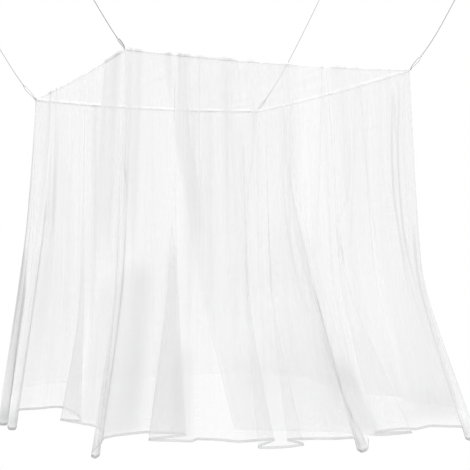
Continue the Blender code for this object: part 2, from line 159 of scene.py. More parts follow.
NEAR_OUTER_FOLDS = (
    Fold("left corner seam", 0.004, -0.194, 0.128, 0.000, 0.000, 0.61, 0.25),
    Fold("corner foot side", 0.014, -0.157, 0.066, 0.002, 0.000, 0.61, 0.25),
    Fold("corner foot root", 0.034, -0.126, 0.011, 0.070, 0.000, 0.61, 0.25),
    Fold("run", 0.090, -0.060, 0.003, 0.080, 0.000, 0.60, 0.25),
    Fold("run end", 0.170, 0.115, 0.001, 0.085, 0.000, 0.60, 0.28),
    Fold("first pleat under", 0.270, 0.330, 0.030, 0.060, 0.000, 0.60, 0.28),
    Fold("first pleat edge", 0.286, 0.106, 0.056, 0.058, 0.008, 0.60, 0.28),
    Fold("first pleat face", 0.330, 0.221, 0.088, 0.050, 0.012, 0.60, 0.28),
    Fold("first pleat end", 0.380, 0.320, 0.121, 0.045, 0.010, 0.60, 0.26),
    Fold("valley", 0.420, 0.374, 0.086, 0.045, 0.005, 0.60, 0.25),
    Fold("span", 0.490, 0.500, 0.088, 0.030, 0.002, 0.60, 0.25),
    Fold("step", 0.560, 0.594, 0.124, 0.020, 0.002, 0.62, 0.25),
    Fold("second pleat under", 0.655, 0.800, 0.138, 0.020, 0.002, 0.66, 0.24),
    Fold("second pleat edge", 0.672, 0.668, 0.204, 0.000, 0.010, 0.66, 0.24),
    Fold("second pleat face", 0.730, 0.795, 0.247, 0.000, 0.014, 0.66, 0.24),
    Fold("second pleat end", 0.786, 0.930, 0.224, 0.000, 0.012, 0.64, 0.22),
    Fold("second pleat back", 0.802, 0.856, 0.176, 0.020, 0.004, 0.62, 0.20),
    Fold("run", 0.838, 0.985, 0.202, 0.020, 0.002, 0.60, 0.20),
    Fold("run middle", 0.868, 1.106, 0.252, 0.020, 0.002, 0.56, 0.18),
    Fold("middle foot root", 0.898, 1.215, 0.277, 0.020, 0.002, 0.46, 0.14),
    Fold("middle foot left side", 0.922, 1.133, 0.452, 0.000, 0.004, 0.35, 0.07),
    Fold("middle foot end", 0.932, 1.124, 0.516, 0.000, 0.004, 0.35, 0.07),
    Fold("middle foot right side", 0.942, 1.182, 0.473, 0.000, 0.004, 0.35, 0.07),
    Fold("free edge", 0.956, 1.271, 0.338, 0.020, 0.002, 0.35, 0.07),
)

NEAR_INNER_FOLDS = (
    Fold("free edge", 0.330, 0.615, 0.027, 0.070, -0.012, 0.60, 0.28),
    Fold("overlapped", 0.450, 0.740, 0.045, 0.060, -0.012, 0.60, 0.26),
    Fold("overlapped", 0.600, 0.900, 0.075, 0.050, -0.012, 0.60, 0.24),
    Fold("overlapped", 0.780, 1.080, 0.125, 0.040, -0.012, 0.58, 0.22),
    Fold("overlap end", 0.960, 1.215, 0.185, 0.035, -0.010, 0.56, 0.20),
    Fold("pleat start", 1.045, 1.330, 0.290, 0.030, -0.002, 0.56, 0.20),
    Fold("pleat face", 1.110, 1.425, 0.313, 0.030, 0.004, 0.58, 0.20),
    Fold("pleat edge", 1.190, 1.572, 0.300, 0.030, 0.006, 0.60, 0.20),
    Fold("pleat under", 1.208, 1.372, 0.240, 0.030, -0.002, 0.60, 0.20),
    Fold("pleat back", 1.330, 1.610, 0.162, 0.020, -0.006, 0.60, 0.20),
    Fold("run", 1.430, 1.660, 0.204, 0.022, 0.000, 0.60, 0.20),
    Fold("run middle", 1.540, 1.751, 0.212, 0.035, 0.000, 0.60, 0.20),
    Fold("run end", 1.630, 1.811, 0.279, 0.040, 0.000, 0.60, 0.20),
    Fold("corner foot root", 1.700, 1.869, 0.350, 0.045, 0.000, 0.60, 0.20),
    Fold("corner foot side", 1.732, 1.836, 0.430, 0.000, 0.000, 0.60, 0.20),
    Fold("right corner seam", 1.745, 1.820, 0.486, 0.000, 0.000, 0.60, 0.20),
)

RIGHT_FOLDS = (
    Fold("near corner seam", 0.004, -0.478, 0.080, 0.000, 0.000, 0.60, 0.20),
    Fold("corner foot side", 0.014, -0.423, 0.141, 0.000, 0.000, 0.60, 0.20),
    Fold("corner foot root", 0.034, -0.322, 0.215, 0.050, 0.000, 0.60, 0.20),
    Fold("swell side", 0.100, -0.110, 0.340, 0.055, 0.000, 0.60, 0.20),
    Fold("swell", 0.210, 0.160, 0.440, 0.060, 0.000, 0.60, 0.22),
    Fold("swell side", 0.340, 0.370, 0.380, 0.060, 0.000, 0.60, 0.24),
    Fold("valley", 0.470, 0.500, 0.297, 0.060, -0.004, 0.60, 0.25),
    Fold("fold", 0.680, 0.715, 0.365, 0.050, 0.008, 0.60, 0.25),
    Fold("valley", 0.920, 0.950, 0.225, 0.050, -0.004, 0.60, 0.25),
    Fold("fold", 1.180, 1.235, 0.300, 0.045, 0.008, 0.60, 0.25),
    Fold("valley", 1.420, 1.470, 0.170, 0.050, -0.004, 0.60, 0.25),
    Fold("fold", 1.690, 1.760, 0.235, 0.045, 0.008, 0.60, 0.25),
    Fold("valley", 1.940, 2.010, 0.125, 0.045, -0.002, 0.60, 0.25),
    Fold("far corner seam", 2.196, 2.280, 0.100, 0.030, 0.000, 0.60, 0.25),
)

FAR_FOLDS = (
    Fold("left corner seam", 0.004, -0.084, 0.066, 0.030, 0.000, 0.60, 0.25),
    Fold("fold", 0.150, 0.105, 0.150, 0.035, 0.006, 0.60, 0.25),
    Fold("valley", 0.335, 0.300, 0.055, 0.050, -0.004, 0.60, 0.25),
    Fold("fold", 0.520, 0.500, 0.165, 0.040, 0.008, 0.60, 0.25),
    Fold("valley", 0.680, 0.690, 0.060, 0.050, -0.004, 0.60, 0.25),
    Fold("fold", 0.880, 0.900, 0.130, 0.040, 0.006, 0.60, 0.25),
    Fold("valley", 1.050, 1.075, 0.045, 0.050, -0.004, 0.60, 0.25),
    Fold("fold", 1.260, 1.290, 0.155, 0.040, 0.008, 0.60, 0.25),
    Fold("valley", 1.450, 1.500, 0.070, 0.050, -0.004, 0.60, 0.25),
    Fold("fold", 1.610, 1.680, 0.140, 0.040, 0.004, 0.60, 0.25),
    Fold("right corner seam", 1.745, 1.835, 0.076, 0.030, 0.000, 0.60, 0.25),
)

LEFT_STREAKS = (
    Streak("band", ((0.0, 3.2, 0.16), (0.125, 3.4, 0.17), (0.28, 3.6, 0.17), (0.37, 3.7, 0.17),
           (0.6, 3.8, 0.15)), 1.4, 0.006, Profile.FLAT),
    Streak("far stretch", ((0.0, 12.5, 0.14), (0.3, 12.2, 0.14), (0.5, 12.0, 0.12)), 0.4, 0.0,
           Profile.FLAT),
    Streak("band edge", ((0.0, 3.8, 0.014), (0.125, 3.8, 0.014), (0.3, 4.4, 0.014),
           (0.5, 4.8, 0.014)), 0.35, 0.001),
    Streak("corner line", ((0.17, 2.2, 0.012), (0.26, 2.3, 0.013), (0.37, 3.0, 0.014),
           (0.6, 2.8, 0.014)), 0.8, 0.004),
    Streak("corner line", ((0.2, 1.4, 0.01), (0.4, 1.0, 0.012), (0.7, 0.7, 0.012),
           (1.0, 0.5, 0.012)), 0.7, 0.003),
    Streak("corner foot side", ((0.45, 1.7, 0.008), (1.0, 1.6, 0.01)), 1.5, 0.002),
    Streak("corner foot end", ((0.955, 0.5, 0.07), (1.0, 0.5, 0.07)), 2.5, 0.0, Profile.FLAT),
    Streak("pleat edge", ((0.55, 6.0, 0.012), (1.0, 6.0, 0.012)), 0.6, 0.0,
           Profile.FIRST_SIDE_HARD),
    Streak("faint line", ((0.0, 8.9, 0.014), (0.21, 9.0, 0.014), (0.34, 9.25, 0.014),
           (0.6, 9.3, 0.014)), 0.35, 0.001),
    Streak("line", ((0.0, 11.2, 0.018), (0.11, 10.75, 0.018), (0.23, 10.57, 0.018),
           (0.36, 10.4, 0.018), (0.55, 10.4, 0.014)), 1.1, 0.001),
    Streak("line", ((0.0, 12.2, 0.012), (0.11, 11.5, 0.012), (0.23, 11.5, 0.012),
           (0.35, 11.1, 0.012), (0.5, 11.0, 0.012)), 0.5),
    Streak("line", ((0.0, 13.3, 0.02), (0.1, 13.05, 0.024), (0.22, 13.0, 0.028),
           (0.34, 13.0, 0.028), (0.5, 13.1, 0.02)), 1.4, 0.001),
    Streak("opened fold", ((0.0, 11.6, 0.03), (0.2, 11.6, 0.04), (0.45, 11.6, 0.05)), -0.6),
    Streak("outline", ((0.0, 17.6, 0.02), (0.09, 17.0, 0.03), (0.17, 16.8, 0.05),
           (0.32, 16.6, 0.06), (0.5, 16.2, 0.02), (0.9, 16.1, 0.014)), 2.6, 0.0, Profile.FLAT),
    Streak("opened pleat", ((0.0, 6.5, 0.03), (0.3, 6.5, 0.06), (0.55, 6.5, 0.1)), -0.5),
    Streak("full stretch by the foot", ((0.6, 3.4, 0.16), (0.8, 3.5, 0.21), (1.0, 3.6, 0.26)), 1.2,
           0.0, Profile.FLAT),
    Streak("full pleat", ((0.7, 5.6, 0.1), (0.9, 5.6, 0.16), (1.0, 5.6, 0.18)), 0.25, 0.0,
           Profile.FLAT),
    Streak("first foot side", ((0.35, 11.9, 0.01), (1.0, 11.8, 0.012)), 1.6, 0.002),
    Streak("first foot side", ((0.35, 13.3, 0.01), (1.0, 13.4, 0.012)), 1.6, 0.002),
    Streak("first foot end", ((0.955, 12.6, 0.08), (1.0, 12.6, 0.08)), 2.5, 0.0, Profile.FLAT),
    Streak("second foot side", ((0.3, 14.8, 0.01), (1.0, 14.8, 0.012)), 1.6, 0.002),
    Streak("second foot side", ((0.3, 16.3, 0.01), (1.0, 16.3, 0.012)), 1.6, 0.002),
    Streak("second foot end", ((0.955, 15.5, 0.08), (1.0, 15.5, 0.08)), 2.5, 0.0, Profile.FLAT),
    Streak("second foot face", ((0.5, 15.4, 0.03), (0.7, 15.4, 0.05), (1.0, 15.4, 0.06)), 1.7, 0.0,
           Profile.FLAT),
    Streak("first foot face", ((0.5, 12.6, 0.03), (0.7, 12.6, 0.04), (1.0, 12.6, 0.05)), 1.0, 0.0,
           Profile.FLAT),
)

NEAR_OUTER_STREAKS = (
    Streak("band by the corner", ((0.0, 2.2, 0.045), (0.25, 2.2, 0.045), (0.4, 2.2, 0.045),
           (0.6, 2.0, 0.04)), 0.8, 0.005, Profile.FLAT),
    Streak("corner line", ((0.19, 0.1, 0.005), (0.26, 0.2, 0.005), (0.32, 1.3, 0.005),
           (0.42, 1.7, 0.005)), 0.9, 0.002),
    Streak("corner foot side", ((0.45, 1.8, 0.008), (1.0, 1.8, 0.01)), 1.6, 0.002),
    Streak("corner foot end", ((0.955, 0.6, 0.05), (1.0, 0.6, 0.05)), 2.5, 0.0, Profile.FLAT),
    Streak("leaning band", ((0.0, 5.6, 0.066), (0.12, 6.3, 0.055), (0.26, 7.2, 0.046),
           (0.37, 8.0, 0.045), (0.62, 8.6, 0.035)), 1.0, 0.003, Profile.FLAT),
    Streak("leaning band, first edge", ((0.0, 4.1, 0.006), (0.1, 5.2, 0.006), (0.19, 6.0, 0.006),
           (0.32, 6.9, 0.006), (0.45, 7.2, 0.006)), 0.2, 0.0, Profile.FIRST_SIDE_HARD),
    Streak("leaning band, second edge", ((0.0, 7.1, 0.006), (0.125, 7.2, 0.006),
           (0.255, 7.8, 0.006), (0.342, 8.8, 0.006), (0.45, 9.0, 0.006)), 0.4, 0.001,
           Profile.SECOND_SIDE_HARD),
    Streak("line", ((0.0, 8.9, 0.005), (0.255, 8.8, 0.005), (0.36, 9.1, 0.005), (0.5, 9.2, 0.005)),
           0.9, 0.002),
    Streak("line", ((0.1, 13.9, 0.005), (0.147, 13.9, 0.005), (0.34, 13.3, 0.005),
           (0.5, 13.0, 0.005)), 1.1, 0.003),
    Streak("opened pleat", ((0.0, 5.5, 0.016), (0.3, 5.5, 0.035), (0.6, 5.5, 0.08)), -1.3),
    Streak("opened pleat", ((0.0, 12.5, 0.035), (0.3, 12.5, 0.06), (0.65, 12.5, 0.1)), -0.65),
    Streak("pleat under", ((0.6, 12.5, 0.06), (1.0, 12.5, 0.09)), -0.75),
    Streak("pleat face", ((0.6, 14.0, 0.07), (1.0, 14.0, 0.1)), 0.1),
    Streak("pleat back", ((0.6, 15.5, 0.06), (1.0, 15.5, 0.08)), -0.75),
    Streak("opened pleat", ((0.0, 15.5, 0.025), (0.3, 15.5, 0.04), (0.6, 15.5, 0.06)), -0.5),
    Streak("thin stretch by the free edge", ((0.0, 18.8, 0.06), (0.25, 18.4, 0.08),
           (0.5, 17.8, 0.1)), -0.8),
    Streak("full stretch", ((0.55, 3.0, 0.1), (0.75, 3.0, 0.13), (1.0, 2.8, 0.16)), 1.2, 0.0,
           Profile.FLAT),
    Streak("full pleat end", ((0.75, 7.5, 0.05), (1.0, 7.5, 0.06)), 0.8, 0.0, Profile.FLAT),
    Streak("light stretch", ((0.6, 9.5, 0.05), (0.8, 9.6, 0.08), (1.0, 9.7, 0.12)), -0.2, 0.0,
           Profile.FLAT),
    Streak("first pleat edge", ((0.45, 6.0, 0.008), (1.0, 6.0, 0.008)), 0.7, 0.0,
           Profile.FIRST_SIDE_HARD),
    Streak("second pleat edge", ((0.5, 13.0, 0.008), (1.0, 13.0, 0.008)), 0.7, 0.0,
           Profile.FIRST_SIDE_HARD),
    Streak("inner line of the free edge", ((0.1, 19.5, 0.007), (0.32, 18.2, 0.007),
           (0.5, 18.5, 0.008), (0.62, 18.5, 0.01), (0.72, 18.6, 0.01)), 1.0, 0.003),
    Streak("outer line of the free edge", ((0.09, 22.9, 0.006), (0.33, 20.5, 0.006),
           (0.47, 20.7, 0.006), (0.61, 19.5, 0.007), (0.69, 19.4, 0.008), (0.8, 19.2, 0.008),
           (0.84, 20.1, 0.008), (1.0, 20.7, 0.008)), 0.9, 0.003),
    Streak("middle foot side", ((0.6, 20.1, 0.008), (1.0, 20.0, 0.009)), 2.0, 0.002),
    Streak("middle foot side", ((0.6, 20.2, 0.008), (0.78, 20.2, 0.008), (0.89, 20.6, 0.009),
           (0.95, 21.6, 0.009), (1.0, 22.2, 0.009)), 1.8, 0.001),
    Streak("middle foot face", ((0.7, 19.2, 0.05), (0.89, 19.0, 0.06), (0.95, 19.3, 0.06)), 0.65,
           0.0, Profile.FLAT),
    Streak("thin stretch behind the foot", ((0.3, 22.3, 0.016), (0.45, 22.1, 0.03),
           (0.6, 22.1, 0.055), (0.78, 22.1, 0.095), (0.89, 22.2, 0.105), (0.96, 22.4, 0.1)), -0.95,
           0.0, Profile.FLAT),
    Streak("middle foot end", ((0.955, 21.2, 0.07), (1.0, 21.2, 0.07)), 2.5, 0.0, Profile.FLAT),
)

NEAR_INNER_STREAKS = (
    Streak("thin stretch", ((0.0, 5.5, 0.07), (0.17, 5.1, 0.06), (0.46, 4.2, 0.05),
           (0.6, 3.7, 0.04)), -0.9, 0.0, Profile.FLAT),
    Streak("dense stretch edge", ((0.0, 6.7, 0.005), (0.17, 6.2, 0.005), (0.46, 5.1, 0.005),
           (0.62, 4.2, 0.005)), 0.8, 0.003, Profile.FIRST_SIDE_HARD),
    Streak("dense stretch", ((0.0, 8.1, 0.09), (0.17, 7.6, 0.09), (0.46, 6.6, 0.08),
           (0.6, 6.0, 0.07)), 0.25, 0.003, Profile.FLAT),
    Streak("opened pleat", ((0.0, 7.5, 0.035), (0.3, 7.5, 0.07), (0.65, 7.5, 0.13),
           (1.0, 7.5, 0.18)), -0.85),
    Streak("pressed pleat", ((0.0, 7.5, 0.022), (0.2, 7.5, 0.035), (0.5, 7.5, 0.06)), -0.7, 0.0,
           Profile.FLAT),
    Streak("full band above the hem", ((0.9, 11.5, 0.16), (0.985, 11.5, 0.17)), 0.7, 0.0,
           Profile.FLAT),
    Streak("full stretch by the middle foot", ((0.8, 4.7, 0.05), (1.0, 4.8, 0.07)), 1.2, 0.0,
           Profile.FLAT),
    Streak("flat overlapped stretch", ((0.88, 1.8, 0.2), (1.0, 1.8, 0.2)), -0.45, 0.0,
           Profile.FLAT),
    Streak("flat overlapped stretch", ((0.0, 1.6, 0.34), (0.5, 1.6, 0.34), (0.9, 1.6, 0.34)), -0.55,
           0.0, Profile.FLAT),
    Streak("full stretch", ((0.6, 11.0, 0.08), (0.8, 11.0, 0.11), (1.0, 11.0, 0.13)), 0.2, 0.0,
           Profile.FLAT),
    Streak("crossing line", ((0.2, 8.9, 0.005), (0.37, 8.6, 0.005), (0.5, 7.3, 0.005),
           (0.65, 5.4, 0.005)), 1.0, 0.003),
    Streak("upright", ((0.0, 9.6, 0.005), (0.23, 9.2, 0.005), (0.45, 8.8, 0.006),
           (0.6, 8.7, 0.006)), 0.6, 0.002),
    Streak("line", ((0.05, 10.2, 0.006), (0.28, 10.0, 0.006), (0.52, 10.3, 0.007),
           (0.7, 10.3, 0.007)), 0.8, 0.004),
    Streak("line", ((0.02, 11.1, 0.008), (0.23, 10.9, 0.008), (0.45, 11.2, 0.008),
           (0.6, 11.3, 0.008)), 0.5, 0.004),
    Streak("line", ((0.06, 11.95, 0.006), (0.233, 11.67, 0.006), (0.32, 11.62, 0.006),
           (0.523, 12.0, 0.007), (0.7, 12.1, 0.007)), 1.7, 0.004),
    Streak("line", ((0.05, 12.6, 0.005), (0.25, 12.12, 0.005), (0.44, 12.2, 0.005),
           (0.62, 12.75, 0.006), (0.75, 12.8, 0.006)), 1.5, 0.003),
    Streak("line", ((0.02, 13.2, 0.005), (0.23, 12.7, 0.005), (0.46, 12.7, 0.005)), 0.5, 0.002),
    Streak("thin stretch by the corner", ((0.05, 13.7, 0.008), (0.25, 13.1, 0.008),
           (0.45, 13.3, 0.008)), -0.5),
    Streak("pleat edge", ((0.45, 7.0, 0.008), (1.0, 7.0, 0.008)), 0.7, 0.0,
           Profile.SECOND_SIDE_HARD),
    Streak("corner foot side", ((0.45, 13.3, 0.008), (1.0, 13.2, 0.01)), 1.4, 0.002),
    Streak("corner foot end", ((0.955, 14.3, 0.06), (1.0, 14.3, 0.06)), 2.5, 0.0, Profile.FLAT),
)

RIGHT_STREAKS = (
    Streak("fold", ((0.05, 4.0, 0.02), (0.9, 4.2, 0.03)), 0.5, 0.008, Profile.SECOND_SIDE_HARD),
    Streak("fold", ((0.0, 6.6, 0.025), (0.8, 6.4, 0.03)), 0.4, 0.008, Profile.FIRST_SIDE_HARD),
    Streak("fold", ((0.0, 8.7, 0.025), (1.0, 8.9, 0.03)), 0.4, 0.01, Profile.SECOND_SIDE_HARD),
    Streak("corner foot side", ((0.4, 1.7, 0.01), (1.0, 1.7, 0.012)), 1.4, 0.002),
    Streak("corner foot end", ((0.955, 0.5, 0.07), (1.0, 0.5, 0.07)), 2.5, 0.0, Profile.FLAT),
    Streak("thin stretch", ((0.0, 9.5, 0.2), (0.3, 9.5, 0.2), (0.6, 9.5, 0.2)), -0.35, 0.0,
           Profile.FLAT),
)

FAR_STREAKS = (
    Streak("fold", ((0.0, 2.6, 0.025), (1.0, 2.7, 0.03)), 0.4, 0.01, Profile.SECOND_SIDE_HARD),
    Streak("fold", ((0.0, 4.2, 0.025), (0.8, 4.3, 0.03)), 0.4, 0.01, Profile.FIRST_SIDE_HARD),
    Streak("fold", ((0.0, 6.9, 0.03), (1.0, 6.7, 0.04)), 0.4, 0.012, Profile.SECOND_SIDE_HARD),
    Streak("fold", ((0.0, 8.2, 0.02), (0.9, 8.3, 0.03)), 0.4, 0.008, Profile.FIRST_SIDE_HARD),
)


@dataclass(frozen=True)
class RoofEdge:
    """One side of the roof in plan: where its wall starts, runs and faces."""

    start: tuple[float, float]
    along: tuple[float, float]
    outward: tuple[float, float]
    length: float
    sag: float

    def drop(self, place: Array) -> Array:
        """How far the edge hangs below its corners: sag * 4 s (1 - s), with s = place / length."""
        share = np.clip(place / self.length, 0, 1)
        return self.sag * 4 * share * (1 - share)

    def point(self, place: Array, outward: Array, height: Array) -> Array:
        """Points in space: start + place * along + outward * normal, at a height.

        Args:
            place: Distances along the edge.
            outward: Distances outside it.
            height: Heights.

        Returns:
            The points, with one more dimension than the distances.
        """
        ways = (self.start, self.along, self.outward)
        start, side, normal = (np.array(way, dtype=float) for way in ways)
        plan = start + place[..., None] * side + outward[..., None] * normal
        return np.concatenate([plan, height[..., None]], axis=-1)


class Side(Enum):
    """The roof's four sides."""

    NEAR = RoofEdge((-HALF_X, -HALF_Y), (1, 0), (0, -1), ROOF_WIDTH, 0.018)
    FAR = RoofEdge((-HALF_X, HALF_Y), (1, 0), (0, 1), ROOF_WIDTH, 0.022)
    LEFT = RoofEdge((-HALF_X, -HALF_Y), (0, 1), (-1, 0), ROOF_LENGTH, 0.014)
    RIGHT = RoofEdge((HALF_X, -HALF_Y), (0, 1), (1, 0), ROOF_LENGTH, 0.014)


def smooth_step(low: float | Array, high: float | Array, value: Array) -> Array:
    """Rises from 0 at low to 1 at high: 3 x^2 - 2 x^3, with x the share of the way."""
    share = np.clip((value - low) / (high - low), 0, 1)
    return share * share * (3 - 2 * share)


def unit(vectors: Array) -> Array:
    """Vectors scaled to length one."""
    return vectors / np.maximum(np.linalg.norm(vectors, axis=-1, keepdims=True), LEAST_LENGTH)


def travelled(points: Array) -> Array:
    """Distance along a line of points, from its first point to each."""
    steps = np.linalg.norm(np.diff(points, axis=0), axis=-1)
    return np.concatenate([[0.0], np.cumsum(steps)])


def read_along(stops: Array, run: Array, rows: Array) -> Array:
    """Rows of values that stand at the distances run, read at other distances."""
    return np.stack([np.interp(stops, run, column) for column in rows.T], axis=1)


def curve_through(values: Array, distances: Array, places: Array) -> Array:
    """Reads smooth curves through rows of values at places counted in rows.

    Between two rows each column is the cubic a + b + c + d, where a and b carry the rows'
    own values, and c and d their slopes. A row's slope is the mean of the slopes on its two
    sides, weighted by the distances, so that close rows make tight bends.

    Args:
        values: One row for each point that the curves pass through.
        distances: The gap from each row to the next.
        places: Where to read the curves, from 0 at the first row.

    Returns:
        One row of values for each place.
    """
    slopes = np.diff(values, axis=0) / distances[:, None]
    before, after = distances[:-1, None], distances[1:, None]
    inner = (slopes[:-1] * after + slopes[1:] * before) / (before + after)
    tangents = np.concatenate([slopes[:1], inner, slopes[-1:]])
    row = np.clip(places.astype(int), 0, len(values) - 2)
    share = (places - row)[:, None]
    start = 2 * share**3 - 3 * share**2 + 1
    between = start * values[row] + (1 - start) * values[row + 1]
    leave = (share**3 - 2 * share**2 + share) * distances[row, None]
    arrive = (share**3 - share**2) * distances[row, None]
    return between + leave * tangents[row] + arrive * tangents[row + 1]


def spread_share(depth: Array, bend: Array, early: Array) -> Array:
    """How much of its spread a fold line has at a share of the height.

    Two straight slopes, joined by a rounded bend: slow down to the bend, then quick. The
    slopes are early / bend and (1 - early) / (1 - bend).

    Args:
        depth: Shares of the height.
        bend: The share of the height at which each fold line bends.
        early: The share of its spread that it has reached there.

    Returns:
        Shares of the spread, from 0 at the top to 1 at the hem.
    """
    slow = early / bend
    quick = (1 - early) / (1 - bend)

    def ramp(x: Array) -> Array:
        """A bend from level to rising one for one: (x + sqrt(x^2 + roundness^2)) / 2."""
        return (x + np.sqrt(x**2 + BEND_ROUNDNESS**2)) / 2

    low, high = ramp(-bend), ramp(1 - bend)
    risen = (ramp(depth - bend) - low) / (high - low) * (1 - bend)
    return slow * depth + (quick - slow) * risen


def grid_faces(rows: int, columns: int, ring: bool = False) -> Faces:
    """Four-sided faces over a grid of points.

    Args:
        rows: The grid's number of rows.
        columns: Its number of columns.
        ring: True if its last column joins its first one.

    Returns:
        The faces, as rows of four point numbers.
    """
    corner = np.arange(rows * columns).reshape(rows, columns)
    if ring:
        corner = np.concatenate([corner, corner[:, :1]], axis=1)
    a, b = corner[:-1, :-1].ravel(), corner[:-1, 1:].ravel()
    c, d = corner[1:, 1:].ravel(), corner[1:, :-1].ravel()
    return np.stack([a, d, c, b], axis=1)


def tube_faces(rows: int, columns: int) -> list[Faces]:
    """Faces of a tube over a grid of points, with a flat end on its first and last row."""
    first = np.arange(columns)[None, :]
    return [grid_faces(rows, columns, ring=True), first, first[:, ::-1] + (rows - 1) * columns]


def add_mesh(
    name: str,
    points: Array,
    faces: list[Faces],
    cloth: Array | None = None,
    layers: Array | None = None,
) -> Thing:
    """Puts arrays of points and faces into a smooth mesh object at the origin.

    Args:
        name: The object's name.
        points: Its vertices, as a list or a grid of them.
        faces: Arrays of faces, each array with faces of one number of corners.
        cloth: Its places on the flat cloth, one pair for each vertex.
        layers: How many layers of net lie at each vertex.

    Returns:
        The object, linked to the scene.
    """
    points = points.reshape(-1, 3)
    mesh = bpy.data.meshes.new(name)
    corners = np.concatenate([part.ravel() for part in faces])
    sizes = np.concatenate([np.full(len(part), part.shape[1]) for part in faces])
    starts = np.concatenate([[0], np.cumsum(sizes)[:-1]])
    mesh.vertices.add(len(points))
    mesh.vertices.foreach_set("co", points.astype(np.float32).ravel())
    mesh.loops.add(len(corners))
    mesh.loops.foreach_set("vertex_index", corners.astype(np.int32))
    mesh.polygons.add(len(sizes))
    mesh.polygons.foreach_set("loop_start", starts.astype(np.int32))
    mesh.update(calc_edges=True)
    mesh.validate()
    mesh.shade_smooth()
    if cloth is not None:
        pairs = cloth.reshape(-1, 2)[corners]
        mesh.uv_layers.new(name="cloth").uv.foreach_set("vector", pairs.astype(np.float32).ravel())
    if layers is not None:
        numbers = mesh.attributes.new("layers", "FLOAT", "POINT")
        numbers.data.foreach_set("value", layers.astype(np.float32).ravel())
    thing = bpy.data.objects.new(name, mesh)
    bpy.context.scene.collection.objects.link(thing)
    return thing


@dataclass(frozen=True)
class Grain:
    """Cloudy unevenness of a cloth: how big its spots are, and what it varies between."""

    wide: float
    tall: float
    between: Between = (0.0, 1.0)
    seed: float = 0.0
    detail: float = 0.0


